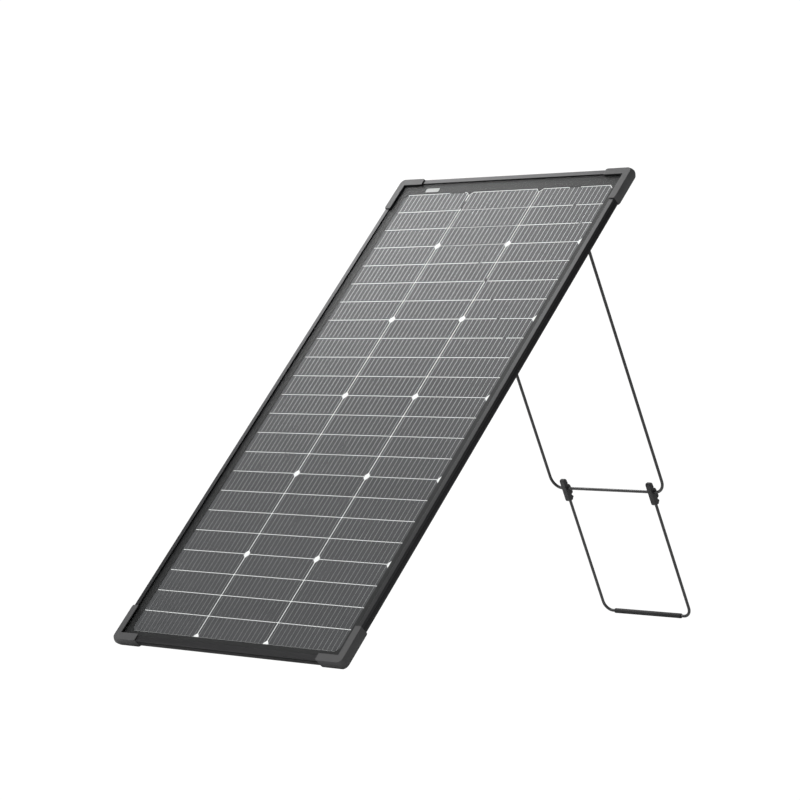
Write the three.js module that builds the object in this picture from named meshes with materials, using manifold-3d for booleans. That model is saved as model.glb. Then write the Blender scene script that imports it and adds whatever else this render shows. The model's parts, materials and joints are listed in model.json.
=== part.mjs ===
// Free-standing rigid solar panel on a folding two-stage wire stand.
//
// Object frame: millimetres, +Z up, +X to the right of someone facing the cells, +Y behind the panel.
// The origin is on the floor, under the middle of the object's bounding box.
// The panel's own frame has +X to the right, +Y up the slope and +Z out of the glass. Its origin is
// the middle of the bottom rail's outer edge, level with the front of the rails' lips.
// The stand's own frame has +Y down the legs and +Z away from the panel, with its origin on the pivot.
import * as THREE from 'three';
import { mergeVertices } from 'three/addons/utils/BufferGeometryUtils.js';
import Module from 'manifold-3d';

const wasm = await Module();
wasm.setup();

// ---- Driving dimensions ------------------------------------------------------------------------

const assemblyGap = 0.3;          // air between two pieces that touch on the real object

// Posture
const tiltAngle = 49.1;           // panel above the floor, degrees
const leanAngle = 64.3;           // stand legs above the floor, degrees

// Cells
const columnCount = 3;
const stripCount = 23;
const stripWidth = 182;
const stripHeight = 45.5;
const columnGap = 2;
const stripGap = 1.42;
const cellChamfer = 7.5;
const stripsAboveFirstChamfer = 3; // the top wafer row is one quarter short
const stripsPerWafer = 4;
const ribbonBridgeWidth = 1.2;
const cellThickness = 0.3;

// Margins from the cells to the outside of the frame
const sideMargin = 24.5;
const topMargin = 37;
const bottomMargin = 24;
const cellShift = -1.2;           // the cells sit slightly left of the frame's middle

// Laminate, front to back
const glassThickness = 1.6;
const maskThickness = 0.4;
const backFilmThickness = 0.4;
const laminateCornerRadius = 3;
const maskOverlapLeft = 5.5;
const maskBorderGap = 0.8;        // clear line left between the printed border and the cells
const edgeSealWidth = 1.4;
const busRibbonWidth = 5;
const busRibbonOffset = 3;

// Rails
const railDepth = 15.8;
const railBoxWidth = 16;
const railWall = 1.4;
const lipWidth = 10.2;
const lipThickness = 1.5;
const webThickness = 2;
const grooveTop = 4.3;
const grooveBottom = 6.6;
const grooveDepth = 0.8;
const beadTop = 8.9;
const beadBottom = 9.7;
const railEdgeBreak = 0.5;
const keyArmLength = 30;
const railHoleLength = 10;

// Corner guards
const guardWall = 1.5;
const guardFrontThickness = 1.8;
const guardRearThickness = 1.5;
const guardFrontFlange = 13.2;
const guardRearFlange = 18;
const guardArmAcross = 61;        // along the short rails
const guardArmAlong = 75;         // along the long rails
const guardCornerRadius = 10;
const guardEndChamferLength = 4;
const guardCornerSegments = 6;
const guardBulge = 1.8;           // how far the walls swell at mid depth
const guardCornerBulge = 1.2;     // extra share of the swell on the corner's diagonal
const guardCollar = 8;            // plain length left at the end of each arm
const guardSwellLength = 6;
const guardBulgeSteps = 4;
const guardScrewInset = 22;

// Screws
const screwShankRadius = 1.4;
const flushHeadRadius = 2.6;
const flushHeadHeight = 0.6;
const panHeadRadius = 3.2;
const panHeadHeight = 2;
const guardScrewLength = 5;
const bracketScrewLength = 7;
const lidScrewLength = 8;

// Junction box
const boxWidth = 110;
const boxLength = 80;
const boxDepth = 14;
const boxWall = 2;
const boxFloor = 2;
const boxLidThickness = 2;
const boxSealThickness = 1;
const boxBossSize = 9;
const boxCentreFromTop = 138;
const boxSealWidth = 3;
const boxTrayCornerRadius = 5;
const glandStemRadius = 4.2;
const glandBodyRadius = 6.7;
const glandNutRadius = 5.7;
const glandNutLength = 6;
const glandBodyLength = 15;
const glandBore = 3;
const glandSpacing = 54;
const terminalSpacing = 54;
const terminalWidth = 12;
const terminalLength = 22;
const terminalThickness = 1.5;
const terminalRise = 6;
const diodeRadius = 2.6;
const diodeLength = 10;
const diodeSpacing = 18;

// Stand
const rodRadius = 3;
const rodSides = 12;
const bendSegments = 6;
const upperHalfWidth = 147;
const lowerHalfWidth = 113.2;
const lowerLegLength = 281;
const upperBendRadius = 25;
const lowerBendRadius = 20;
const pivotBendRadius = 9;
const pivotFromTop = 27;
const pivotBehindRail = 8.4;
const footSleeveRadius = 5;
const footSleeveLength = 174;
const sleeveSides = 20;

// Hinge brackets
const bracketMargin = 2.5;
const bracketPlateThickness = 2.5;
const earThickness = 6;
const earRadius = 9;
const bushWall = 1.7;
const bushFlange = 1.4;
const bushFlangeThickness = 1;
const pinOverhang = 4;
const retainerRadius = 6;
const retainerThickness = 3;
const headClearance = 0.55;       // beside a bracket screw's head
const stopTabWidth = 9;
const stopTabThickness = 4;
const stopTabStart = 11;
const stopTabEnd = 22;

// Swivel clips
const clipWidth = 10.5;
const clipFront = 7;
const clipTop = 21;
const clipBottom = 27;
const clipRootBack = 4.8;
const clipRidge = 2.7;
const clipSocketDepth = 14.5;
const hookRadius = 9;
const hookShoulder = 65;          // where the hook's round leaves off for its tail, degrees
const hookTail = 15.5;
const hookTailBack = 10.5;
const stopLugReach = 5.6;
const stopLugWidth = 2;

// ---- Derived places ----------------------------------------------------------------------------

const radians = Math.PI / 180;
const columnPitch = stripWidth + columnGap;
const stripPitch = stripHeight + stripGap;
const cellsWidth = columnCount * columnPitch - columnGap;
const cellsLength = stripCount * stripPitch - stripGap;
const frameWidth = cellsWidth + 2 * sideMargin;
const frameLength = cellsLength + bottomMargin + topMargin;
const cellsLeft = cellShift - cellsWidth / 2;
const cellsRight = cellShift + cellsWidth / 2;
const cellsTop = bottomMargin + cellsLength;

// Depths below the front of the lips, always negative
const frontGlassTop = -lipThickness - assemblyGap;
const maskTop = frontGlassTop - glassThickness - assemblyGap;
const cellTop = maskTop - maskThickness - assemblyGap;
const backFilmTop = cellTop - cellThickness - assemblyGap;
const rearGlassTop = backFilmTop - backFilmThickness - assemblyGap;
const rearGlassBottom = rearGlassTop - glassThickness;
const channelFloor = rearGlassBottom - assemblyGap;
const chamberTop = channelFloor - railWall;
const chamberBottom = -railDepth + railWall;
const guardFront = assemblyGap + guardFrontThickness;
const guardRear = -railDepth - assemblyGap - guardRearThickness;
const guardProud = assemblyGap + guardWall;
const laminateInset = webThickness + edgeSealWidth + 2 * assemblyGap;

const pivotHeight = frameLength - pivotFromTop;
const pivotDepth = -railDepth - pivotBehindRail;
const floorDrop = guardProud * Math.sin(tiltAngle * radians) - guardRear * Math.cos(tiltAngle * radians);
const pivotAboveFloor = pivotHeight * Math.sin(tiltAngle * radians)
  + pivotDepth * Math.cos(tiltAngle * radians) + floorDrop;
const legLength = (pivotAboveFloor - footSleeveRadius) / Math.sin(leanAngle * radians);
const upperLegLength = legLength - lowerLegLength;
const openAngle = 180 - tiltAngle - leanAngle;
const boreRadius = rodRadius + assemblyGap;
const bushRadius = boreRadius + bushWall;
const tabNear = upperHalfWidth - stopTabWidth / 2;
const tabFar = tabNear + stopTabWidth;
const earNear = tabFar + 2 * (panHeadRadius + headClearance);
const earFar = earNear + earThickness;
const pinEnd = earFar + bushFlangeThickness + pinOverhang;

// ---- Materials ---------------------------------------------------------------------------------

const finish = (color, roughness, metalness, opacity = 1) => () => new THREE.MeshStandardMaterial({
  color, roughness, metalness, opacity, transparent: opacity < 1,
});
const anodised = finish(0x3a3b3d, 0.42, 0.7);
const guardPlastic = finish(0x3c3c3e, 0.6, 0);
const clearGlass = finish(0xcfd8dc, 0.05, 0, 0.35);
const darkPrint = finish(0x2a2b2d, 0.5, 0);
const clearFilm = finish(0xe6e6e6, 0.3, 0, 0.35);
const silicon = finish(0x2c2f34, 0.35, 0.2);
const tinned = finish(0xc8c8ca, 0.35, 0.9);
const sealRubber = finish(0x161616, 0.8, 0);
const boxPlastic = finish(0x1d1d1f, 0.55, 0);
const steel = finish(0x9a9a9c, 0.35, 0.9);
const coatedWire = finish(0x262628, 0.45, 0.4);
const bracketSteel = finish(0x2b2b2d, 0.45, 0.5);
const bushPlastic = finish(0xbfbcb2, 0.5, 0);
const clipPlastic = finish(0x353536, 0.6, 0);
const footRubber = finish(0x2e2e30, 0.7, 0);

// ---- Shape helpers -----------------------------------------------------------------------------

/** Corners as vectors, turned anticlockwise where they run clockwise. */
function anticlockwise(corners) {
  const points = corners.map(([x, y]) => new THREE.Vector2(x, y));
  return THREE.ShapeUtils.isClockWise(points) ? points.reverse() : points;
}

/** A three.js shape from a list of [x, y] corners, with optional holes given the same way. */
function outline(corners, holes = []) {
  const shape = new THREE.Shape(anticlockwise(corners));
  shape.holes = holes.map((hole) => new THREE.Path(anticlockwise(hole).reverse()));
  return shape;
}

/** Points of an arc about (x, y), from one angle to another in degrees, both ends included. */
function arc(x, y, radius, from, to, segments) {
  const points = [];
  for (let i = 0; i <= segments; i += 1) {
    const angle = (from + (to - from) * i / segments) * radians;
    points.push([x + radius * Math.cos(angle), y + radius * Math.sin(angle)]);
  }
  return points;
}

/** The corners of a regular polygon that stands for a circle. */
function circle(x, y, radius, sides) {
  return arc(x, y, radius, 0, 360 * (sides - 1) / sides, sides - 1);
}

/** The corners of a rectangle whose corners are rounded, or cut straight with one segment. */
function roundedRectangle(left, bottom, right, top, radius, segments = 4) {
  return [
    ...arc(right - radius, bottom + radius, radius, -90, 0, segments),
    ...arc(right - radius, top - radius, radius, 0, 90, segments),
    ...arc(left + radius, top - radius, radius, 90, 180, segments),
    ...arc(left + radius, bottom + radius, radius, 180, 270, segments),
  ];
}

/** A plate of the given outline between two heights. */
function plate(shape, bottom, top) {
  const geometry = new THREE.ExtrudeGeometry(shape, { depth: top - bottom, bevelEnabled: false });
  return geometry.translate(0, 0, bottom);
}

/** A slab between two corners. */
function slab(left, front, bottom, right, back, top) {
  const geometry = new THREE.BoxGeometry(right - left, back - front, top - bottom);
  return geometry.translate((left + right) / 2, (front + back) / 2, (bottom + top) / 2);
}

/** Turns a shape drawn in (X, Y) and pulled along Z, so it stands in (Y, Z) and runs along X. */
function alongX(geometry) {
  return geometry.applyMatrix4(new THREE.Matrix4().makeBasis(
    new THREE.Vector3(0, 1, 0),
    new THREE.Vector3(0, 0, 1),
    new THREE.Vector3(1, 0, 0),
  ));
}

/** A shape drawn in the (Y, Z) plane and pulled along X between two places. */
function crossPlate(corners, left, right, holes = []) {
  return alongX(plate(outline(corners, holes), left, right));
}

/** A round solid turned about Z from [radius, height] points that start and end on the axis. */
function turned(profile, sides) {
  return new THREE.LatheGeometry(profile.map(([r, z]) => new THREE.Vector2(r, z)), sides)
    .rotateX(Math.PI / 2);
}

/** A ring or bored body turned about Z: the profile closes on itself. */
function turnedRing(profile, sides) {
  return turned([...profile, profile[0]], sides);
}

/** A manifold solid from a three.js geometry. */
function solidOf(geometry) {
  const bare = geometry.clone();
  bare.deleteAttribute('normal');
  bare.deleteAttribute('uv');
  const merged = mergeVertices(bare, 1e-4);
  return new wasm.Manifold(new wasm.Mesh({
    numProp: 3,
    vertProperties: new Float32Array(merged.attributes.position.array),
    triVerts: new Uint32Array(merged.index.array),
  }));
}

/** A three.js geometry from a manifold solid. */
function geometryOf(solid) {
  const mesh = solid.getMesh();
  const geometry = new THREE.BufferGeometry();
  geometry.setAttribute('position', new THREE.BufferAttribute(mesh.vertProperties, mesh.numProp));
  geometry.setIndex(new THREE.BufferAttribute(mesh.triVerts, 1));
  return geometry;
}

/** The geometry with the cutters taken away. */
function cut(geometry, ...cutters) {
  return geometryOf(cutters.reduce((solid, tool) => solid.subtract(solidOf(tool)), solidOf(geometry)));
}

/** The geometries joined into one. */
function join(geometry, ...others) {
  return geometryOf(others.reduce((solid, other) => solid.add(solidOf(other)), solidOf(geometry)));
}

/** Adds one named piece to a group. */
function addPiece(group, name, geometry, material, place = {}) {
  const mesh = new THREE.Mesh(geometry, material());
  mesh.name = name;
  mesh.position.set(...(place.position ?? [0, 0, 0]));
  mesh.rotation.set(...(place.rotation ?? [0, 0, 0]));
  group.add(mesh);
}

// ---- Frame -------------------------------------------------------------------------------------

const corners = [
  { name: 'bottom_left', side: -1, top: false },
  { name: 'bottom_right', side: 1, top: false },
  { name: 'top_right', side: 1, top: true },
  { name: 'top_left', side: -1, top: true },
];

/** The rail's section: x is the distance in from the frame's outer edge, y the depth. */
function railSection() {
  const outer = [
    [0, -railEdgeBreak],
    [railEdgeBreak, 0],
    [lipWidth, 0],
    [lipWidth, -lipThickness],
    [webThickness, -lipThickness],
    [webThickness, channelFloor],
    [railBoxWidth, channelFloor],
    [railBoxWidth, -railDepth],
    [railEdgeBreak, -railDepth],
    [0, -railDepth + railEdgeBreak],
    [0, -beadBottom],
    [grooveDepth, -beadBottom],
    [grooveDepth, -beadTop],
    [0, -beadTop],
    [0, -grooveBottom],
    [grooveDepth, -grooveBottom],
    [grooveDepth, -grooveTop],
    [0, -grooveTop],
  ];
  const chamber = [
    [grooveDepth + railWall, chamberTop],
    [railBoxWidth - railWall, chamberTop],
    [railBoxWidth - railWall, chamberBottom],
    [grooveDepth + railWall, chamberBottom],
  ];
  return outline(outer, [chamber]);
}

/**
 * A rail lying along X from its mitred corner at 0, with its outer edge on Y = 0. Its outermost
 * corners are cut back, to stay inside the guards' round corners.
 */
function rail(length) {
  const geometry = new THREE.ExtrudeGeometry(railSection(), { depth: length, bevelEnabled: false });
  const position = geometry.attributes.position;
  const cornerCut = guardCornerRadius - guardProud;
  for (let i = 0; i < position.count; i += 1) {
    const inward = position.getX(i);
    const mitre = Math.max(inward, cornerCut - inward) + assemblyGap / 2;
    position.setZ(i, position.getZ(i) < length / 2 ? mitre : length - mitre);
  }
  return alongX(geometry);
}

/** A round cutter for a screw's clearance hole through the rear of a rail. */
function railHole(along, inward) {
  const radius = screwShankRadius + assemblyGap;
  const hole = plate(outline(circle(along, inward, radius, 10)), 0, railHoleLength);
  return hole.translate(0, 0, -railDepth - railHoleLength + 2 * railWall);
}

/** Where the guards' screws enter: along the short rail from the corner, and in from its edge. */
const guardScrewIn = (railBoxWidth + grooveDepth) / 2;

/** The two screws of a hinge bracket, beside the near and the far side of its ear. */
const bracketScrews = [(tabFar + earNear) / 2, earFar + panHeadRadius + headClearance];
const bracketEnd = bracketScrews[1] + panHeadRadius + bracketMargin;

/** The four rails, with holes in the short ones for the guards' and the brackets' screws. */
function addRails(panel) {
  const acrossHoles = [guardScrewInset, frameWidth - guardScrewInset];
  const bracketHoles = [-1, 1].flatMap((side) => bracketScrews.map((x) => frameWidth / 2 + side * x));
  const short = (places) => cut(rail(frameWidth), ...places.map((x) => railHole(x, guardScrewIn)));
  const long = rail(frameLength);
  addPiece(panel, 'frame_rail_bottom', short(acrossHoles), anodised, {
    position: [-frameWidth / 2, 0, 0],
  });
  addPiece(panel, 'frame_rail_right', long, anodised, {
    position: [frameWidth / 2, 0, 0],
    rotation: [0, 0, Math.PI / 2],
  });
  addPiece(panel, 'frame_rail_top', short([...acrossHoles, ...bracketHoles]), anodised, {
    position: [frameWidth / 2, frameLength, 0],
    rotation: [0, 0, Math.PI],
  });
  addPiece(panel, 'frame_rail_left', long, anodised, {
    position: [-frameWidth / 2, frameLength, 0],
    rotation: [0, 0, -Math.PI / 2],
  });
}

/** Turns corner-local corners, with x along the short rail and y along the long one, to the panel. */
function atCorner(points, corner) {
  return points.map(([x, y]) => [
    corner.side * (frameWidth / 2 - x),
    corner.top ? frameLength - y : y,
  ]);
}

/** The L-shaped key that joins two rails inside their chambers. */
function cornerKey(corner) {
  const near = grooveDepth + railWall + assemblyGap;
  const far = railBoxWidth - railWall - assemblyGap;
  const cornerCut = guardCornerRadius - guardProud;
  const points = [
    [cornerCut, near], [keyArmLength, near], [keyArmLength, far],
    [far, far],
    [far, keyArmLength], [near, keyArmLength], [near, cornerCut],
  ];
  const shape = outline(atCorner(points, corner));
  const key = plate(shape, chamberBottom + assemblyGap, chamberTop - assemblyGap);
  const [[x, y]] = atCorner([[guardScrewInset, guardScrewIn]], corner);
  const hole = plate(outline(circle(x, y, screwShankRadius + assemblyGap, 10)), -railDepth, 0);
  return cut(key, hole);
}

/** The outline of a guard, in corner-local corners, reaching in from the frame's edge by `reach`. */
function guardOutline(reach) {
  const centre = guardCornerRadius - guardProud;
  const arm = (length) => [
    [length, -assemblyGap],
    [length - guardEndChamferLength, -guardProud],
    [length - guardCollar, -guardProud],
    [length - guardCollar - guardSwellLength, -guardProud],
  ];
  return [
    [guardArmAcross, reach],
    ...arm(guardArmAcross),
    ...arc(centre, centre, guardCornerRadius, 270, 180, guardCornerSegments),
    ...arm(guardArmAlong).map(([x, y]) => [y, x]).reverse(),
    [reach, guardArmAlong],
    [reach, reach],
  ];
}

/** Where a guard's outline point lies once its outer walls have swollen by `swell`. */
function swollen([x, y], swell) {
  const centre = guardCornerRadius - guardProud;
  const plainEnd = guardCollar + guardSwellLength / 2;
  if (y < 0 && x > centre) return [x, x > guardArmAcross - plainEnd ? y : y - swell];
  if (x < 0 && y > centre) return [y > guardArmAlong - plainEnd ? x : x - swell, y];
  if (x > centre || y > centre) return [x, y];
  const angle = Math.atan2(centre - y, centre - x);
  const reach = guardCornerRadius + swell * (1 + guardCornerBulge * Math.sin(2 * angle));
  return [centre - reach * Math.cos(angle), centre - reach * Math.sin(angle)];
}

/** The solid block of a guard, its outer walls swollen at mid depth. */
function guardBlock(corner) {
  const depth = guardFront - guardRear;
  const geometry = new THREE.ExtrudeGeometry(outline(guardOutline(guardRearFlange)), {
    depth,
    steps: guardBulgeSteps,
    bevelEnabled: false,
  });
  const position = geometry.attributes.position;
  for (let i = 0; i < position.count; i += 1) {
    const swell = guardBulge * Math.sin(Math.PI * position.getZ(i) / depth);
    const moved = swollen([position.getX(i), position.getY(i)], swell);
    position.setXY(i, ...atCorner([moved], corner)[0]);
  }
  const mirrored = corner.side * (corner.top ? -1 : 1) > 0;
  if (mirrored) turnFaces(position);
  return geometry.translate(0, 0, guardRear);
}

/** Turns every triangle of an unindexed geometry over, after a mirroring move. */
function turnFaces(position) {
  for (let i = 0; i < position.count; i += 3) {
    const first = [position.getX(i), position.getY(i), position.getZ(i)];
    position.setXYZ(i, position.getX(i + 1), position.getY(i + 1), position.getZ(i + 1));
    position.setXYZ(i + 1, ...first);
  }
}

/** The space inside a guard that the rails fill, run out past the guard's open sides. */
function guardCavity(corner, from, to) {
  const centre = guardCornerRadius - guardProud;
  const past = guardArmAlong + guardRearFlange;
  const points = [
    [past, past],
    [past, -assemblyGap],
    ...arc(centre, centre, centre + assemblyGap, 270, 180, guardCornerSegments),
    [-assemblyGap, past],
  ];
  return plate(outline(atCorner(points, corner)), from, to);
}

/** A moulded corner guard: front flange, outer wall and rear flange round a frame corner. */
function cornerGuard(corner) {
  const body = guardBlock(corner);
  const rails = guardCavity(corner, -railDepth - assemblyGap, assemblyGap);
  const past = guardArmAlong + guardRearFlange;
  const window = [
    [guardFrontFlange, guardFrontFlange], [past, guardFrontFlange],
    [past, past], [guardFrontFlange, past],
  ];
  const frontWindow = plate(outline(atCorner(window, corner)), -railDepth / 2, guardFront + 1);
  const [[x, y]] = atCorner([[guardScrewInset, guardScrewIn]], corner);
  const hole = (radius, top) => plate(outline(circle(x, y, radius + assemblyGap, 12)), guardRear - 1, top);
  const shank = hole(screwShankRadius, -railDepth);
  const head = hole(flushHeadRadius, guardRear + flushHeadHeight + assemblyGap);
  return cut(body, rails, frontWindow, shank, head);
}

/** A screw along +Z whose head stands on Z = 0 and points down. */
function screw(headRadius, headHeight, shankLength) {
  return turned([
    [0, -headHeight], [headRadius, -headHeight], [headRadius, 0],
    [screwShankRadius, 0], [screwShankRadius, shankLength], [0, shankLength],
  ], 10);
}

/** The key, guard and guard screw of each corner. */
function addCorners(panel) {
  for (const corner of corners) {
    const [[x, y]] = atCorner([[guardScrewInset, guardScrewIn]], corner);
    addPiece(panel, `corner_key_${corner.name}`, cornerKey(corner), steel);
    addPiece(panel, `corner_guard_${corner.name}`, cornerGuard(corner), guardPlastic);
    const guardScrew = screw(flushHeadRadius, flushHeadHeight, guardScrewLength);
    addPiece(panel, `guard_screw_${corner.name}`, guardScrew, steel, {
      position: [x, y, guardRear + flushHeadHeight],
    });
  }
}

// ---- Laminate ----------------------------------------------------------------------------------

/** A sheet that fills the frame to a distance in from its outer edge. */
function sheetOutline(inset, radius, holes = []) {
  const half = frameWidth / 2 - inset;
  return outline(roundedRectangle(-half, inset, half, frameLength - inset, radius), holes);
}

/** The clear window in the printed border, grown or shrunk by `grow`. */
function maskWindow(grow) {
  return roundedRectangle(
    cellsLeft + maskOverlapLeft - grow,
    bottomMargin - maskBorderGap - grow,
    cellsRight + maskBorderGap + grow,
    cellsTop + maskBorderGap + grow,
    cellChamfer,
    1,
  );
}

/** True where a strip's edge is also the edge of an uncut wafer, whose corners are chamfered. */
function isWaferEdge(stripsFromTop) {
  const fromFirst = stripsFromTop - stripsAboveFirstChamfer;
  return stripsFromTop === 0 || stripsFromTop === stripCount || fromFirst % stripsPerWafer === 0;
}

/** One column of cell strips, joined through their gaps by the ribbon down the middle. */
function cellString(column) {
  const left = cellsLeft + column * columnPitch;
  const right = left + stripWidth;
  const middle = (left + right) / 2;
  const up = [];
  for (let strip = 0; strip < stripCount; strip += 1) {
    const bottom = bottomMargin + strip * stripPitch;
    const top = bottom + stripHeight;
    const lowerCut = isWaferEdge(stripCount - strip) ? cellChamfer : 0;
    const upperCut = isWaferEdge(stripCount - strip - 1) ? cellChamfer : 0;
    if (strip > 0) up.push([middle + ribbonBridgeWidth / 2, bottom]);
    up.push([right - lowerCut, bottom]);
    if (lowerCut) up.push([right, bottom + lowerCut]);
    if (upperCut) up.push([right, top - upperCut]);
    up.push([right - upperCut, top]);
    if (strip < stripCount - 1) up.push([middle + ribbonBridgeWidth / 2, top]);
  }
  const down = up.map(([x, y]) => [2 * middle - x, y]).reverse();
  return plate(outline([...up, ...down]), cellTop - cellThickness, cellTop);
}

/** The glass, film, cells and seal, laid from front to back. */
function addLaminate(panel) {
  const glass = () => sheetOutline(laminateInset, laminateCornerRadius);
  addPiece(panel, 'front_glass', plate(glass(), frontGlassTop - glassThickness, frontGlassTop), clearGlass);
  const mask = sheetOutline(laminateInset, laminateCornerRadius, [maskWindow(0)]);
  addPiece(panel, 'border_mask', plate(mask, maskTop - maskThickness, maskTop), darkPrint);
  const film = plate(outline(maskWindow(-assemblyGap)), maskTop - maskThickness, maskTop);
  addPiece(panel, 'front_encapsulant', film, clearFilm);
  ['left', 'centre', 'right'].forEach((name, column) => {
    addPiece(panel, `cell_string_${name}`, cellString(column), silicon);
  });
  addBusRibbons(panel);
  const backFilm = plate(glass(), backFilmTop - backFilmThickness, backFilmTop);
  addPiece(panel, 'rear_encapsulant', backFilm, clearFilm);
  addPiece(panel, 'rear_glass', plate(glass(), rearGlassBottom, rearGlassTop), clearGlass);
  const sealInset = webThickness + assemblyGap;
  const sealHalf = frameWidth / 2 - sealInset - edgeSealWidth;
  const sealHole = roundedRectangle(
    -sealHalf,
    sealInset + edgeSealWidth,
    sealHalf,
    frameLength - sealInset - edgeSealWidth,
    laminateCornerRadius,
  );
  const seal = sheetOutline(sealInset, laminateCornerRadius + edgeSealWidth, [sealHole]);
  addPiece(panel, 'edge_seal', plate(seal, rearGlassBottom, frontGlassTop), sealRubber);
}

/** The flat ribbons past the ends of the columns that put them in series. */
function addBusRibbons(panel) {
  const ribbon = (fromColumn, toColumn, low) => slab(
    cellsLeft + fromColumn * columnPitch + cellChamfer,
    low,
    cellTop - cellThickness,
    cellsLeft + toColumn * columnPitch + stripWidth - cellChamfer,
    low + busRibbonWidth,
    cellTop,
  );
  const aboveCells = cellsTop + busRibbonOffset;
  const belowCells = bottomMargin - busRibbonOffset - busRibbonWidth;
  addPiece(panel, 'bus_ribbon_bottom', ribbon(0, 1, belowCells), tinned);
  addPiece(panel, 'bus_ribbon_top_left', ribbon(0, 0, aboveCells), tinned);
  addPiece(panel, 'bus_ribbon_top_right', ribbon(1, 2, aboveCells), tinned);
}

// ---- Junction box ------------------------------------------------------------------------------

const boxMiddle = frameLength - boxCentreFromTop;
const boxTop = rearGlassBottom - assemblyGap;
const boxRim = boxTop - boxDepth;
const boxSealRim = boxRim - assemblyGap - boxSealThickness;
const boxLidTop = boxSealRim - assemblyGap;
const glandDepth = boxTop - glandBodyRadius - assemblyGap;

/** A rounded rectangle in from the box's outside by `inset`, in the panel's frame. */
function boxOutline(inset) {
  return roundedRectangle(
    inset - boxWidth / 2,
    boxMiddle - boxLength / 2 + inset,
    boxWidth / 2 - inset,
    boxMiddle + boxLength / 2 - inset,
    boxTrayCornerRadius - Math.min(inset, boxTrayCornerRadius - 1),
    3,
  );
}

/** The cavity of the box, stepped round the four screw bosses in its corners. */
function boxCavity() {
  const x = boxWidth / 2 - boxWall;
  const y = boxLength / 2 - boxWall;
  const quarter = [[x, y - boxBossSize], [x - boxBossSize, y - boxBossSize], [x - boxBossSize, y]];
  const turns = [[1, 1], [-1, 1], [-1, -1], [1, -1]];
  const points = turns.flatMap(([sx, sy]) => {
    const part = quarter.map(([px, py]) => [sx * px, boxMiddle + sy * py]);
    return sx * sy > 0 ? part : part.reverse();
  });
  return plate(outline(points), boxRim - 1, boxTop - boxFloor);
}

/** The lid screws' places, over the bosses in the box's corners. */
const lidScrewPlaces = [-1, 1].flatMap((sx) => [-1, 1].map((sy) => [
  sx * (boxWidth / 2 - boxWall - boxBossSize / 2),
  boxMiddle + sy * (boxLength / 2 - boxWall - boxBossSize / 2),
]));

/** The box with its seal, lid and screws, and the electrical pieces in it. */
function addJunctionBox(panel) {
  const holes = (from, to) => lidScrewPlaces.map(([x, y]) => plate(
    outline(circle(x, y, screwShankRadius + assemblyGap, 10)),
    from,
    to,
  ));
  const glandPlaces = [-glandSpacing / 2, glandSpacing / 2];
  const glandHoles = glandPlaces.map((x) => new THREE.CylinderGeometry(
    glandStemRadius + assemblyGap,
    glandStemRadius + assemblyGap,
    3 * boxWall,
    12,
  ).translate(x, boxMiddle - boxLength / 2, glandDepth));
  const tray = plate(outline(boxOutline(0)), boxRim, boxTop);
  const screwHoles = holes(boxRim - 1, boxRim + lidScrewLength);
  addPiece(panel, 'junction_box_base', cut(tray, boxCavity(), ...screwHoles, ...glandHoles), boxPlastic);
  const ring = outline(boxOutline(0), [boxOutline(boxSealWidth)]);
  const seal = plate(ring, boxSealRim, boxSealRim + boxSealThickness);
  const sealHoles = holes(boxSealRim - 1, boxRim);
  addPiece(panel, 'junction_box_seal', cut(seal, ...sealHoles), sealRubber);
  const lid = plate(outline(boxOutline(0)), boxLidTop - boxLidThickness, boxLidTop);
  const lidHoles = holes(boxLidTop - boxLidThickness - 1, boxRim);
  addPiece(panel, 'junction_box_lid', cut(lid, ...lidHoles), boxPlastic);
  lidScrewPlaces.forEach(([x, y], index) => {
    addPiece(panel, `lid_screw_${index + 1}`, screw(panHeadRadius, panHeadHeight, lidScrewLength), steel, {
      position: [x, y, boxLidTop - boxLidThickness - assemblyGap],
    });
  });
  ['negative', 'positive'].forEach((name, index) => {
    addGland(panel, name, glandPlaces[index]);
    addTerminal(panel, name, (index - 0.5) * terminalSpacing);
  });
  ['left', 'right'].forEach((name, index) => addDiode(panel, name, (index - 0.5) * diodeSpacing));
}

/** A cable gland whose threaded stem passes through the box's lower wall. */
function addGland(panel, name, x) {
  const wall = assemblyGap;
  const profile = [
    [glandBore, -2 * boxWall], [glandStemRadius, -2 * boxWall], [glandStemRadius, wall],
    [glandBodyRadius, wall], [glandBodyRadius, glandBodyLength - glandNutLength],
    [glandNutRadius, glandBodyLength - glandNutLength], [glandNutRadius, glandBodyLength],
    [glandBore, glandBodyLength],
  ];
  addPiece(panel, `cable_gland_${name}`, turnedRing(profile, 12), boxPlastic, {
    position: [x, boxMiddle - boxLength / 2, glandDepth],
    rotation: [Math.PI / 2, 0, 0],
  });
}

/** A bent terminal tongue that stands on the box's floor. */
function addTerminal(panel, name, x) {
  const floor = boxTop - boxFloor - assemblyGap;
  const start = boxMiddle - terminalLength / 2;
  const end = boxMiddle + terminalLength / 2;
  const points = [
    [start, floor], [start, floor - terminalThickness],
    [end - terminalThickness, floor - terminalThickness],
    [end - terminalThickness, floor - terminalRise],
    [end, floor - terminalRise], [end, floor],
  ];
  const strip = crossPlate(points, x - terminalWidth / 2, x + terminalWidth / 2);
  addPiece(panel, `terminal_${name}`, strip, tinned);
}

/** A round bypass diode lying up the slope between the terminals. */
function addDiode(panel, name, x) {
  const floor = boxTop - boxFloor - assemblyGap;
  addPiece(panel, `bypass_diode_${name}`, new THREE.CylinderGeometry(
    diodeRadius,
    diodeRadius,
    diodeLength,
    12,
  ), boxPlastic, { position: [x, boxMiddle, floor - diodeRadius] });
}

// ---- Hinge brackets ----------------------------------------------------------------------------

/** A point in the panel's (Y, Z) plane: `down` the open leg from the pivot and `off` it, up the slope. */
function besideOpenLeg(down, off) {
  const angle = openAngle * radians;
  return [
    pivotHeight - down * Math.cos(angle) + off * Math.sin(angle),
    pivotDepth - down * Math.sin(angle) - off * Math.cos(angle),
  ];
}

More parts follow.
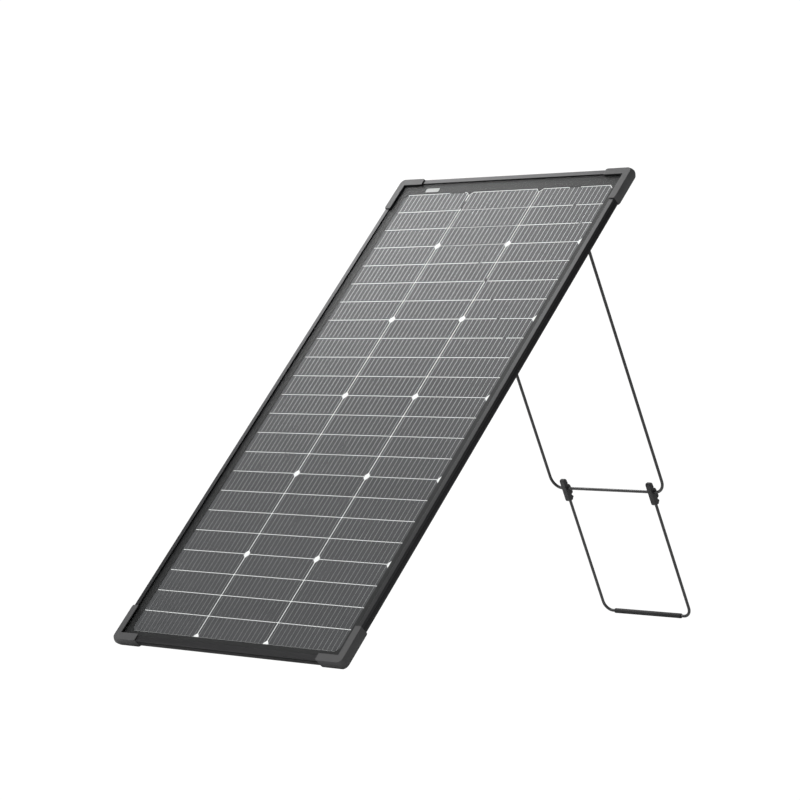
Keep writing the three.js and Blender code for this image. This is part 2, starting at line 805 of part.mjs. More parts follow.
/** The bracket: plate under the rail, ear round the pivot, and the tab that stops the open leg. */
function hingeBracket(side) {
  const plateTop = -railDepth - assemblyGap;
  const plateBottom = plateTop - bracketPlateThickness;
  const railInner = frameLength - railBoxWidth;
  const railOuter = frameLength - railEdgeBreak;
  const place = (from, to) => (side > 0 ? [from, to] : [-to, -from]);
  const [baseLeft, baseRight] = place(tabNear, bracketEnd);
  const base = slab(baseLeft, railInner, plateBottom, baseRight, railOuter, plateTop);
  const ear = [
    [railOuter, plateTop], [railInner, plateTop],
    ...arc(pivotHeight, pivotDepth, earRadius, 120, 300, 8),
    [railOuter, plateBottom],
  ];
  const earHole = circle(pivotHeight, pivotDepth, bushRadius + assemblyGap, rodSides);
  const earPlate = crossPlate(ear, ...place(earNear, earFar), [earHole]);
  const clear = rodRadius + assemblyGap;
  const tab = [
    besideOpenLeg(stopTabStart, clear),
    besideOpenLeg(stopTabEnd, clear),
    besideOpenLeg(stopTabEnd, clear + stopTabThickness),
    [railOuter, plateBottom],
    [railOuter, plateTop],
    [railInner, plateTop],
  ];
  const tabPlate = crossPlate(tab, ...place(tabNear, tabFar));
  const screwHoles = bracketScrews.map((x) => plate(
    outline(circle(side * x, frameLength - guardScrewIn, screwShankRadius + assemblyGap, 10)),
    plateBottom - 1,
    plateTop + 1,
  ));
  return cut(join(base, earPlate, tabPlate), ...screwHoles);
}

/** The two hinge brackets, each with its flanged bush and its screws. */
function addHinges(panel) {
  for (const [name, side] of [['left', -1], ['right', 1]]) {
    addPiece(panel, `hinge_bracket_${name}`, hingeBracket(side), bracketSteel);
    const length = earThickness + bushFlangeThickness;
    const flangeRadius = bushRadius + bushFlange;
    const flangeTop = bushFlangeThickness - assemblyGap;
    const bush = turnedRing([
      [boreRadius, 0], [flangeRadius, 0], [flangeRadius, flangeTop],
      [bushRadius, flangeTop], [bushRadius, length], [boreRadius, length],
    ], rodSides);
    addPiece(panel, `pivot_bush_${name}`, bush, bushPlastic, {
      position: [side * (earNear - bushFlangeThickness), pivotHeight, pivotDepth],
      rotation: [0, side * Math.PI / 2, 0],
    });
    bracketScrews.forEach((x, index) => {
      const z = -railDepth - 2 * assemblyGap - bracketPlateThickness;
      const bracketScrew = screw(panHeadRadius, panHeadHeight, bracketScrewLength);
      addPiece(panel, `bracket_screw_${name}_${index + 1}`, bracketScrew, steel, {
        position: [side * x, frameLength - guardScrewIn, z],
      });
    });
  }
}

// ---- Stand -------------------------------------------------------------------------------------

/** A path of straight runs and round bends, sampled only where it bends. */
class BentPath extends THREE.Curve {
  constructor(stops, radii) {
    super();
    this.places = [stops[0]];
    this.directions = [stops[1].clone().sub(stops[0]).normalize()];
    for (let i = 1; i < stops.length - 1; i += 1) {
      this.addBend(stops[i - 1], stops[i], stops[i + 1], radii[i - 1]);
    }
    const last = stops.length - 1;
    this.places.push(stops[last]);
    this.directions.push(stops[last].clone().sub(stops[last - 1]).normalize());
  }

  addBend(before, corner, after, radius) {
    const inward = corner.clone().sub(before).normalize();
    const outward = after.clone().sub(corner).normalize();
    const start = corner.clone().addScaledVector(inward, -radius);
    for (let i = 0; i <= bendSegments; i += 1) {
      const angle = Math.PI / 2 * i / bendSegments;
      this.places.push(start.clone()
        .addScaledVector(inward, radius * Math.sin(angle))
        .addScaledVector(outward, radius * (1 - Math.cos(angle))));
      this.directions.push(inward.clone().multiplyScalar(Math.cos(angle))
        .addScaledVector(outward, Math.sin(angle)));
    }
  }

  get steps() {
    return this.places.length - 1;
  }

  getPoint(t, target = new THREE.Vector3()) {
    const at = Math.min(t * this.steps, this.steps);
    const index = Math.min(Math.floor(at + 1e-6), this.steps - 1);
    return target.lerpVectors(this.places[index], this.places[index + 1], at - index);
  }

  getPointAt(u, target) {
    return this.getPoint(u, target);
  }

  getTangentAt(u, target = new THREE.Vector3()) {
    return target.copy(this.directions[Math.round(u * this.steps)]);
  }
}

/** A bent round wire along a path whose bends are square. */
function wire(stops, radii) {
  const path = new BentPath(stops.map(([x, y, z]) => new THREE.Vector3(x, y, z)), radii);
  return new THREE.ExtrudeGeometry(outline(circle(0, 0, rodRadius, rodSides)), {
    steps: path.steps,
    extrudePath: path,
  });
}

/** The upper loop: pins at the pivot, legs and crossbar, with two stop lugs welded to the crossbar. */
function upperLoop() {
  const loop = wire([
    [-pinEnd, 0, 0],
    [-upperHalfWidth, 0, 0],
    [-upperHalfWidth, upperLegLength, 0],
    [upperHalfWidth, upperLegLength, 0],
    [upperHalfWidth, 0, 0],
    [pinEnd, 0, 0],
  ], [pivotBendRadius, upperBendRadius, upperBendRadius, pivotBendRadius]);
  const lugs = [-1, 1].map((side) => slab(
    side * lowerHalfWidth - stopLugWidth / 2,
    upperLegLength - stopLugReach,
    -stopLugWidth / 2,
    side * lowerHalfWidth + stopLugWidth / 2,
    upperLegLength,
    stopLugWidth / 2,
  ));
  return join(loop, ...lugs);
}

/** The upper loop, with a retainer pressed on the end of each pivot pin. */
function addUpperStand(stand) {
  addPiece(stand, 'upper_leg_loop', upperLoop(), coatedWire);
  for (const [name, side] of [['left', -1], ['right', 1]]) {
    const mouth = 2 * assemblyGap - pinOverhang;
    const cap = turned([
      [0, assemblyGap], [boreRadius, assemblyGap], [boreRadius, mouth],
      [retainerRadius, mouth], [retainerRadius, retainerThickness], [0, retainerThickness],
    ], rodSides);
    addPiece(stand, `pin_retainer_${name}`, cap, clipPlastic, {
      position: [side * pinEnd, 0, 0],
      rotation: [0, side * Math.PI / 2, 0],
    });
  }
}

/** The slot inside a clip and its hook that the stop lug travels in. */
function lugSlot(x) {
  const radius = stopLugReach + assemblyGap;
  const half = stopLugWidth / 2 + assemblyGap;
  const points = [[-radius, -half], ...arc(0, 0, radius, 172, 8, 14), [radius, -half]];
  return crossPlate(points, x - half, x + half);
}

/** A clip's moulded body, drawn with x down the leg and y away from the panel, round the crossbar. */
function clipBody(x) {
  const split = -assemblyGap / 2;
  const back = hookRadius + assemblyGap;
  const points = [
    [-clipTop, -clipFront + 2], [-clipTop + 3, -clipFront], [clipBottom - 3, -clipFront],
    [clipBottom, -clipFront + 2], [clipBottom, clipRootBack - 1], [clipBottom - 2.5, clipRootBack],
    [clipBottom - 4, clipRootBack + clipRidge], [clipBottom - 7, clipRootBack + clipRidge],
    [clipBottom - 9, clipRootBack], [back, clipRootBack], [back, split],
    ...arc(0, 0, boreRadius, 0, -180, rodSides / 2),
    [-back, split], [-back, clipRootBack - 1],
    [-clipTop + 3, clipRootBack - 2], [-clipTop, clipRootBack - 4],
  ];
  const body = crossPlate(points, x - clipWidth / 2, x + clipWidth / 2);
  const socket = new THREE.CylinderGeometry(boreRadius, boreRadius, clipSocketDepth + 1, rodSides)
    .translate(x, clipBottom - clipSocketDepth / 2 + 0.5, 0);
  return cut(body, socket, lugSlot(x));
}

/** A clip's hook: the half ring that closes the clip behind the crossbar. */
function clipHook(x) {
  const split = assemblyGap / 2;
  const lean = Math.asin(split / hookRadius) / radians;
  const inner = Math.asin(split / boreRadius) / radians;
  const tailRoot = clipRootBack + assemblyGap;
  const points = [
    [hookRadius, split], [hookRadius, tailRoot], [hookTail, tailRoot],
    [hookTail - 1, hookTailBack - 2], [hookTail - 4, hookTailBack],
    ...arc(0, 0, hookRadius, hookShoulder, 180 - lean, 9),
    ...arc(0, 0, boreRadius, 180 - inner, inner, rodSides / 2),
  ];
  return cut(crossPlate(points, x - clipWidth / 2, x + clipWidth / 2), lugSlot(x));
}

/** The lower loop, its clips and hooks round the crossbar, and the sleeve it stands on. */
function addLowerStand(lower) {
  const top = clipBottom - clipSocketDepth + assemblyGap;
  const loop = wire([
    [-lowerHalfWidth, top, 0],
    [-lowerHalfWidth, lowerLegLength, 0],
    [lowerHalfWidth, lowerLegLength, 0],
    [lowerHalfWidth, top, 0],
  ], [lowerBendRadius, lowerBendRadius]);
  addPiece(lower, 'lower_leg_loop', loop, coatedWire);
  for (const [name, side] of [['left', -1], ['right', 1]]) {
    addPiece(lower, `swivel_clip_${name}`, clipBody(side * lowerHalfWidth), clipPlastic);
    addPiece(lower, `clip_hook_${name}`, clipHook(side * lowerHalfWidth), clipPlastic);
  }
  const half = footSleeveLength / 2;
  const sleeve = turnedRing([
    [boreRadius, -half], [footSleeveRadius, -half], [footSleeveRadius, half], [boreRadius, half],
  ], sleeveSides);
  addPiece(lower, 'foot_sleeve', sleeve, footRubber, {
    position: [0, lowerLegLength, 0],
    rotation: [0, Math.PI / 2, 0],
  });
}

// ---- Assembly ----------------------------------------------------------------------------------

const object = new THREE.Group();

const panelGroup = new THREE.Group();
panelGroup.rotation.x = tiltAngle * radians;
addRails(panelGroup);
addCorners(panelGroup);
addLaminate(panelGroup);
addJunctionBox(panelGroup);
addHinges(panelGroup);
object.add(panelGroup);

const standGroup = new THREE.Group();
standGroup.position.set(0, pivotHeight, pivotDepth).applyEuler(panelGroup.rotation);
standGroup.rotation.x = -leanAngle * radians;
addUpperStand(standGroup);
object.add(standGroup);

const lowerGroup = new THREE.Group();
lowerGroup.position.y = upperLegLength;
addLowerStand(lowerGroup);
standGroup.add(lowerGroup);

// The origin goes to the floor under the middle of the bounding box.
const extent = new THREE.Box3().setFromObject(object, true);
const middle = extent.getCenter(new THREE.Vector3());
object.position.set(-middle.x, -middle.y, -extent.min.z);

export default object;
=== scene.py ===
"""Looks of a free-standing rigid solar panel on a folding two-stage wire stand.

Everything is in metres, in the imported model's own frame: +Z up, +X to the right of someone facing
the cells, +Y behind the panel. The panel's own axes are x to the right, s up the slope and n out
of the glass, measured from the middle of the bottom rail's outer edge, level with the lips.
"""

import json
import logging
import math
from collections.abc import Callable, Iterable, Sequence
from dataclasses import dataclass, field, replace
from enum import Enum
from typing import Any

import bmesh
import bpy
import numpy as np
from mathutils import Matrix, Vector

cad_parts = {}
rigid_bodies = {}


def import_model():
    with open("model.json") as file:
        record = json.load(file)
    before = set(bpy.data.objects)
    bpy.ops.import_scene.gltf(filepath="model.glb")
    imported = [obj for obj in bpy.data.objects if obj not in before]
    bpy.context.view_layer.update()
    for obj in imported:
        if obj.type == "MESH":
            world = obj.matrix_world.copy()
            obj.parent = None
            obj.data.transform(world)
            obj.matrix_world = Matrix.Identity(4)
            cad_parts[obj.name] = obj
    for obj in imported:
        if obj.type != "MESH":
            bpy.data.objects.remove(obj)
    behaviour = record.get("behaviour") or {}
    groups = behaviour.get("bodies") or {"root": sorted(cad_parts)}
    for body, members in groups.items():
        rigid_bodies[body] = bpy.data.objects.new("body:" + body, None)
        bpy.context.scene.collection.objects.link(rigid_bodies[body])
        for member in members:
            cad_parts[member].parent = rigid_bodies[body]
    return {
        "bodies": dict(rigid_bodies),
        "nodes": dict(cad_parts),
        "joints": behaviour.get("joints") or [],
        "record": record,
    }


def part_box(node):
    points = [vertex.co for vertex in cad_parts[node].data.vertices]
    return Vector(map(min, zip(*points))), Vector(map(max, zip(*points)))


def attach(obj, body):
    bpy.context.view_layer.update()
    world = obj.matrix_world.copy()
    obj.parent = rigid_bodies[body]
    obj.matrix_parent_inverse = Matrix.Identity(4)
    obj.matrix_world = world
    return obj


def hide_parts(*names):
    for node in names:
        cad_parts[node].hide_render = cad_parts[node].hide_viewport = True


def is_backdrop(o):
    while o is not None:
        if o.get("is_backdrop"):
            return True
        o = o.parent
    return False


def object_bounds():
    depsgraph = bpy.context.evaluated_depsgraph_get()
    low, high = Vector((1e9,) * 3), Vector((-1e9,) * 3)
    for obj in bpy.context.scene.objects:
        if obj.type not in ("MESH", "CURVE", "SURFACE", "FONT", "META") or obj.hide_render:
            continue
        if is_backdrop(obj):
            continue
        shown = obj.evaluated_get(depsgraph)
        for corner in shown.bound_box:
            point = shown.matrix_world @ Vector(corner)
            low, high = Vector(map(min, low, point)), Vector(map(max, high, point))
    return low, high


log = logging.getLogger("solar_panel")
MM = 0.001
STRIP_SEED = 11
MERGE_DISTANCE = 2e-6
POLE_DISTANCE = 1e-7
FLAT_ANGLE = math.radians(0.6)
SCREW_SHARP_FROM = 35.0


class Body(Enum):
    """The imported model's moving bodies."""

    PANEL = "panel"
    UPPER_STAND = "upper_stand"
    LOWER_STAND = "lower_stand"


class Slot(Enum):
    """The record's material slots."""

    RAIL = "rail_anodised"
    GUARD = "guard_plastic"
    GLASS = "clear_glass"
    PRINT = "dark_print"
    FILM = "clear_film"
    SILICON = "silicon_cell"
    COPPER = "tinned_copper"
    SEAL = "seal_rubber"
    BOX = "box_plastic"
    STEEL = "plain_steel"
    WIRE = "coated_wire"
    BRACKET = "bracket_coating"
    BUSH = "bush_plastic"
    CLIP = "clip_plastic"
    FOOT = "foot_rubber"


class Lay(Enum):
    """Which way a finish's fine lines run, as a stretch along the panel's own axes."""

    EVEN = (1.0, 1.0, 1.0)
    ACROSS = (70.0, 1.0, 1.0)
    UP_SLOPE = (1.0, 70.0, 1.0)


# ---- Places ------------------------------------------------------------------------------------


def corners_of(node: bpy.types.Object) -> np.ndarray:
    """Reads a mesh object's vertices.

    Args:
        node: An object whose place is in its mesh.

    Returns:
        One row of x, y, z for each vertex.
    """
    places = np.empty(len(node.data.vertices) * 3, dtype=np.float32)
    node.data.vertices.foreach_get("co", places)
    return places.reshape(-1, 3).astype(float)


@dataclass(frozen=True)
class Extent:
    """How far a node reaches along three axes."""

    low: Vector
    high: Vector

    @property
    def middle(self) -> Vector:
        """The middle of the extent."""
        return (self.low + self.high) / 2


@dataclass(frozen=True)
class Axes:
    """A sub-assembly's own axes, with its origin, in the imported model's frame."""

    origin: Vector
    second: Vector
    third: Vector

    @property
    def matrix(self) -> Matrix:
        """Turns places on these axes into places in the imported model's frame."""
        turn = Matrix((Vector((1, 0, 0)), self.second, self.third)).transposed()
        return Matrix.Translation(self.origin) @ turn.to_4x4()

    @property
    def turn(self) -> float:
        """The angle of these axes about X, in radians."""
        return math.atan2(self.second.z, self.second.y)

    def extent(self, node: bpy.types.Object) -> Extent:
        """Measures a node along these axes.

        Args:
            node: The node to measure.

        Returns:
            Its lowest and highest places.
        """
        places = corners_of(node) - np.array(self.origin)
        spans = places @ np.array([(1.0, 0.0, 0.0), tuple(self.second), tuple(self.third)]).T
        return Extent(Vector(spans.min(0)), Vector(spans.max(0)))


def panel_axes(frame: dict[str, Any]) -> Axes:
    """Works out the panel's axes.

    Args:
        frame: The loaded frame.

    Returns:
        The panel's axes: x, up the slope and out of the glass.
    """
    out = Vector(frame["record"]["mounts"][0]["axis"])
    slope = Vector((0, out.z, -out.y))
    places = corners_of(frame["nodes"]["frame_rail_bottom"])
    foot, face = (places @ np.array(slope)).min(), (places @ np.array(out)).max()
    return Axes(slope * foot + out * face, slope, out)


def stand_axes(frame: dict[str, Any]) -> Axes:
    """Works out the stand's axes.

    Args:
        frame: The loaded frame.

    Returns:
        The stand's axes from the pivot: x, down the legs and away from the panel.
    """
    places = {joint["name"]: Vector(joint["pos_m"]) for joint in frame["joints"]}
    down = (places["foot_fold"] - places["stand_hinge"]).normalized()
    return Axes(places["stand_hinge"], down, Vector((1, 0, 0)).cross(down))


# ---- Node trees --------------------------------------------------------------------------------


def titled(values: dict[str, Any]) -> dict[str, Any]:
    """Turns names such as rod_radius into socket names such as Rod Radius."""
    return {label.replace("_", " ").title(): value for label, value in values.items()}


def linked(name: str, data: bpy.types.ID) -> bpy.types.Object:
    """Makes an object and adds it to the scene.

    Args:
        name: Its name.
        data: Its mesh, camera or light.

    Returns:
        The object.
    """
    made = bpy.data.objects.new(name, data)
    bpy.context.scene.collection.objects.link(made)
    return made


class NodeBuilder:
    """Adds nodes to a tree and joins them up."""

    def __init__(self, tree: bpy.types.NodeTree) -> None:
        """Starts on a tree.

        Args:
            tree: The tree to build in.
        """
        self.tree = tree

    def add(
        self, kind: str, inputs: dict[str | int, Any] | None = None, **options: Any
    ) -> bpy.types.Node:
        """Adds a node.

        Args:
            kind: The node's type.
            inputs: What goes in each input: a node, a socket, a list of them, or a plain value.
            **options: The node's own settings.

        Returns:
            The new node.
        """
        node = self.tree.nodes.new(kind)
        for option, value in options.items():
            setattr(node, option, value)
        for key, value in (inputs or {}).items():
            for item in value if isinstance(value, list) else [value]:
                if isinstance(item, bpy.types.Node):
                    item = item.outputs[0]
                if isinstance(item, bpy.types.NodeSocket):
                    self.tree.links.new(item, node.inputs[key])
                else:
                    node.inputs[key].default_value = item
        return node

    def math(self, operation: str, *values: Any, clamp: bool = False) -> bpy.types.NodeSocket:
        """Adds a Math node.

        Args:
            operation: The sum to do.
            *values: Its numbers or sockets.
            clamp: Whether the result is held between 0 and 1.

        Returns:
            The result.
        """
        inputs = dict(enumerate(values))
        return self.add("ShaderNodeMath", inputs, operation=operation, use_clamp=clamp).outputs[0]

    def blend(self, factor: Any, first: Any, second: Any) -> bpy.types.NodeSocket:
        """Mixes two colours.

        Args:
            factor: How much of the second colour shows.
            first: The first colour.
            second: The second colour.

        Returns:
            The mixed colour.
        """
        node = self.add("ShaderNodeMix", {0: factor, 6: first, 7: second}, data_type="RGBA")
        return node.outputs[2]

    def remap(self, value: Any, low: float, high: float) -> bpy.types.NodeSocket:
        """Turns a value between two levels into 0 to 1, held at both ends.

        Args:
            value: The value.
            low: The level that becomes 0.
            high: The level that becomes 1.

        Returns:
            The result.
        """
        inputs = {"Value": value, "From Min": low, "From Max": high}
        return self.add("ShaderNodeMapRange", inputs, clamp=True).outputs[0]


class GeometryTree(NodeBuilder):
    """A Geometry Nodes tree with named sizes, grown into plain meshes."""

    def __init__(self, name: str, sizes: dict[str, float | int]) -> None:
        """Makes the tree and its inputs.

        Args:
            name: The tree's name.
            sizes: Each named size and its usual value.
        """
        super().__init__(bpy.data.node_groups.new(name, "GeometryNodeTree"))
        face = self.tree.interface
        face.new_socket("Geometry", in_out="INPUT", socket_type="NodeSocketGeometry")
        for label, value in sizes.items():
            kind = "NodeSocketInt" if isinstance(value, int) else "NodeSocketFloat"
            face.new_socket(label, in_out="INPUT", socket_type=kind).default_value = value
        face.new_socket("Material", in_out="INPUT", socket_type="NodeSocketMaterial")
        face.new_socket("Geometry", in_out="OUTPUT", socket_type="NodeSocketGeometry")
        self.given = self.tree.nodes.new("NodeGroupInput")

    def size(self, label: str) -> bpy.types.NodeSocket:
        """The socket of a named size."""
        return self.given.outputs[label]

    def vector(self, x: Any = 0.0, y: Any = 0.0, z: Any = 0.0) -> bpy.types.NodeSocket:
        """Puts three numbers together as a vector."""
        return self.add("ShaderNodeCombineXYZ", {0: x, 1: y, 2: z}).outputs[0]

    def attribute(self, name: str) -> bpy.types.NodeSocket:
        """Reads a named number of the geometry."""
        node = self.add("GeometryNodeInputNamedAttribute", {"Name": name}, data_type="FLOAT")
        return node.outputs[0]

    def scaled(self, label: str, factor: float) -> bpy.types.NodeSocket:
        """A named size times a factor."""
        return self.math("MULTIPLY", self.size(label), factor)

    def moved(self, geometry: Any, shift: Any) -> bpy.types.NodeSocket:
        """Moves geometry by a vector."""
        inputs = {"Geometry": geometry, "Translation": shift}
        return self.add("GeometryNodeTransform", inputs).outputs[0]

    def repeated(self, points: Any, geometry: Any, **inputs: Any) -> bpy.types.NodeSocket:
        """Puts geometry on points, with any other inputs of the node."""
        inputs = {"Points": points, "Instance": geometry} | inputs
        return self.add("GeometryNodeInstanceOnPoints", inputs).outputs[0]

    def close(self, geometry: Any) -> None:
        """Ends the tree in Realize Instances and Set Material.

        Args:
            geometry: The geometry to put out.
        """
        real = self.add("GeometryNodeRealizeInstances", {0: geometry})
        inputs = {"Geometry": real, "Material": self.size("Material")}
        dressed = self.add("GeometryNodeSetMaterial", inputs)
        self.add("NodeGroupOutput", {0: dressed})

    def grow(
        self, base: bpy.types.Mesh, material: bpy.types.Material, **sizes: float | int
    ) -> bpy.types.Mesh:
        """Runs the tree on a mesh.

        Args:
            base: The mesh the tree starts from.
            material: The finish of what it makes.
            **sizes: The sizes that differ from the usual ones, with _ for a space.

        Returns:
            A plain mesh.
        """
        holder = linked("growing", base)
        growth = holder.modifiers.new("growth", "NODES")
        growth.node_group = self.tree
        wanted = titled(sizes)
        for item in self.tree.interface.items_tree:
            if item.in_out == "INPUT" and item.name in wanted:
                growth[item.identifier] = wanted.pop(item.name)
            elif item.in_out == "INPUT" and item.name == "Material":
                growth[item.identifier] = material
        if wanted:
            raise ValueError(f"{self.tree.name} has no size called {sorted(wanted)}")
        made = plain_mesh(holder)
        bpy.data.objects.remove(holder)
        return made


def wire_tree() -> GeometryTree:
    """Builds the tree of a round wire that follows a line and bends at its corners.

    Returns:
        The tree. Its base is the line, whose points hold a radius called bend.
    """
    tree = GeometryTree("bent_wire", {"Rod Radius": 3 * MM, "Sides": 24, "Bend Steps": 12})
    line = tree.add("GeometryNodeMeshToCurve", {0: tree.size("Geometry")})
    bends = {"Curve": line, "Count": tree.size("Bend Steps"), "Radius": tree.attribute("bend")}
    bent = tree.add("GeometryNodeFilletCurve", bends, mode="POLY")
    circle = {"Resolution": tree.size("Sides"), "Radius": tree.size("Rod Radius")}
    ring = tree.add("GeometryNodeCurvePrimitiveCircle", circle, mode="RADIUS")
    rod = {"Curve": bent, "Profile Curve": ring, "Fill Caps": True}
    tree.close(tree.add("GeometryNodeCurveToMesh", rod))
    return tree


def strip_tree() -> GeometryTree:
    """Builds the tree of one column of quarter-cut cells.

    Returns:
        The tree. Its base is one strip of unit size, whose points hold which corner they are on.
    """
    sizes = {
        "Count": 23,
        "Strip Width": 182 * MM,
        "Strip Height": 45.5 * MM,
        "Strip Gap": 1.42 * MM,
        "Thickness": 0.3 * MM,
        "Chamfer": 7.5 * MM,
        "Plain Corner": 0.4 * MM,
        "First Cut": 3,
        "Strips Per Wafer": 4,
    }
    tree = GeometryTree("cell_column", sizes)
    pitch = tree.math("ADD", tree.size("Strip Height"), tree.size("Strip Gap"))
    spots = {
        "Count": tree.size("Count"),
        "Start Location": tree.vector(y=tree.scaled("Strip Height", 0.5)),
        "Offset": tree.vector(y=pitch),
    }
    line = tree.add("GeometryNodeMeshLine", spots, mode="OFFSET")
    scale = tree.vector(*(tree.size(name) for name in ("Strip Width", "Strip Height", "Thickness")))
    strips = tree.repeated(line, tree.size("Geometry"), Scale=scale)
    index = tree.add("GeometryNodeInputIndex").outputs[0]
    last = tree.math("SUBTRACT", tree.size("Count"), 1.0)
    above = tree.math("SUBTRACT", last, index)

    def wafer_edge(strips_above: Any) -> bpy.types.NodeSocket:
        """Whether a wafer's edge lies under this many strips."""
        from_first = tree.math("SUBTRACT", strips_above, tree.size("First Cut"))
        left_over = tree.math("FLOORED_MODULO", from_first, tree.size("Strips Per Wafer"))
        return tree.math("COMPARE", left_over, 0.0, 0.5)

    top = tree.math("COMPARE", above, 0.0, 0.5)
    cut_above = tree.math("MAXIMUM", top, wafer_edge(above))
    cut_below = wafer_edge(tree.math("ADD", above, 1.0))
    seed = {"Seed": STRIP_SEED}
    tone = tree.add("FunctionNodeRandomValue", seed, data_type="FLOAT").outputs[1]
    marked: Any = strips
    for name, value in (("cut_above", cut_above), ("cut_below", cut_below), ("tone", tone)):
        marked = tree.add(
            "GeometryNodeStoreNamedAttribute",
            {"Geometry": marked, "Name": name, "Value": value},
            data_type="FLOAT",
            domain="INSTANCE",
        )
    real = tree.add("GeometryNodeRealizeInstances", {0: marked})
    upper = tree.math("GREATER_THAN", tree.attribute("corner_y"), 0.0)
    lower = tree.math("SUBTRACT", 1.0, upper)
    is_cut = tree.math(
        "ADD",
        tree.math("MULTIPLY", upper, tree.attribute("cut_above")),
        tree.math("MULTIPLY", lower, tree.attribute("cut_below")),
    )
    extra = tree.math("SUBTRACT", tree.size("Chamfer"), tree.size("Plain Corner"))
    cut = tree.math("MULTIPLY_ADD", is_cut, extra, tree.size("Plain Corner"))
    inward = tree.math("MULTIPLY", cut, -1.0)
    on_side = tree.attribute("on_side")
    on_end = tree.math("SUBTRACT", 1.0, on_side)
    shift = tree.vector(
        tree.math("MULTIPLY", tree.attribute("corner_x"), tree.math("MULTIPLY", inward, on_end)),
        tree.math("MULTIPLY", tree.attribute("corner_y"), tree.math("MULTIPLY", inward, on_side)),
    )
    tree.close(tree.add("GeometryNodeSetPosition", {"Geometry": real, "Offset": shift}))
    return tree


def bar_tree() -> GeometryTree:
    """Builds the tree of a row of flat parallel bars.

    Returns:
        The tree. Its base is a single point, where the first bar's near end is.
    """
    sizes = {
        "Count": 16,
        "Pitch": 11.4 * MM,
        "Bar Width": 0.6 * MM,
        "Bar Length": 1.0,
        "Bar Thickness": 0.12 * MM,
    }
    tree = GeometryTree("bar_row", sizes)
    spots = {"Count": tree.size("Count"), "Offset": tree.vector(x=tree.size("Pitch"))}
    line = tree.add("GeometryNodeMeshLine", spots, mode="OFFSET")
    size = tree.vector(*(tree.size(f"Bar {name}") for name in ("Width", "Length", "Thickness")))
    bar = tree.add("GeometryNodeMeshCube", {"Size": size})
    row = tree.repeated(line, tree.moved(bar, tree.vector(y=tree.scaled("Bar Length", 0.5))))
    tree.close(tree.repeated(tree.size("Geometry"), row))
    return tree


def ring_tree() -> GeometryTree:
    """Builds the tree of grip ribs set in a ring round an axis.

    Returns:
        The tree. Its base is a single point on the axis, where the ribs begin.
    """
    sizes = {"Count": 18, "Ring Radius": 5.7 * MM, "Rib Radius": 0.5 * MM, "Rib Length": 5 * MM}
    tree = GeometryTree("rib_ring", sizes)
    circle = {"Vertices": tree.size("Count"), "Radius": tree.size("Ring Radius")}
    ring = tree.add("GeometryNodeMeshCircle", circle)
    shape = {"Radius": tree.size("Rib Radius"), "Depth": tree.size("Rib Length")}
    rib = tree.add("GeometryNodeMeshCylinder", {"Vertices": 8} | shape)
    ribs = tree.repeated(ring, tree.moved(rib, tree.vector(z=tree.scaled("Rib Length", 0.5))))
    tree.close(tree.repeated(tree.size("Geometry"), ribs))
    return tree


def screw_tree() -> GeometryTree:
    """Builds the tree of screws with a cross recess, standing on points with their heads up.

    Returns:
        The tree. Its base is a point for each screw, where the underside of its head is.
    """
    sizes = {
        "Head Radius": 3.2 * MM,
        "Head Taper": 0.82,
        "Head Height": 2.0 * MM,
        "Shank Radius": 1.4 * MM,
        "Shank Length": 7 * MM,
        "Slot Width": 0.7 * MM,
        "Slot Depth": 0.9 * MM,
    }
    tree = GeometryTree("cross_screw", sizes)
    radius, height = tree.size("Head Radius"), tree.size("Head Height")
    top = tree.math("MULTIPLY", radius, tree.size("Head Taper"))
    cone = {"Vertices": 24, "Radius Top": top, "Radius Bottom": radius, "Depth": height}
    head = tree.add("GeometryNodeMeshCone", cone)
    width, reach = tree.size("Slot Width"), tree.scaled("Head Radius", 1.1)
    blades = []
    for across, along in ((reach, width), (width, reach)):
        size = tree.vector(across, along, tree.scaled("Slot Depth", 2.0))
        blade = tree.add("GeometryNodeMeshCube", {"Size": size})
        blades.append(tree.moved(blade, tree.vector(z=height)))
    recess = {"Mesh 1": head, "Mesh 2": blades}
    options = {"operation": "DIFFERENCE", "solver": "EXACT"}
    recessed = tree.add("GeometryNodeMeshBoolean", recess, **options)
    shape = {"Radius": tree.size("Shank Radius"), "Depth": tree.size("Shank Length")}
    shank = tree.add("GeometryNodeMeshCylinder", {"Vertices": 16} | shape)
    lowered = tree.moved(shank, tree.vector(z=tree.scaled("Shank Length", -0.4999)))
    whole = tree.add("GeometryNodeJoinGeometry", {0: [recessed, lowered]})
    tree.close(tree.repeated(tree.size("Geometry"), whole))
    return tree


# ---- Meshes ------------------------------------------------------------------------------------


def plain_mesh(holder: bpy.types.Object) -> bpy.types.Mesh:
    """Turns an object and its modifiers into a plain mesh, and takes the modifiers off.

    Args:
        holder: The object.

    Returns:
        The mesh.
    """
    graph = bpy.context.evaluated_depsgraph_get()
    made = bpy.data.meshes.new_from_object(
        holder.evaluated_get(graph), preserve_all_data_layers=True, depsgraph=graph
    )
    holder.modifiers.clear()
    return made


def mesh_of(
    places: Sequence[Sequence[float]],
    faces: Sequence[Sequence[int]] = (),
    edges: Sequence[Sequence[int]] = (),
) -> bpy.types.Mesh:
    """Makes a mesh from places.

    Args:
        places: The vertices.
        faces: The faces, as vertex numbers.
        edges: The loose edges, as vertex numbers.

    Returns:
        The mesh.
    """
    mesh = bpy.data.meshes.new("made")
    mesh.from_pydata([tuple(place) for place in places], list(edges), list(faces))
    return mesh


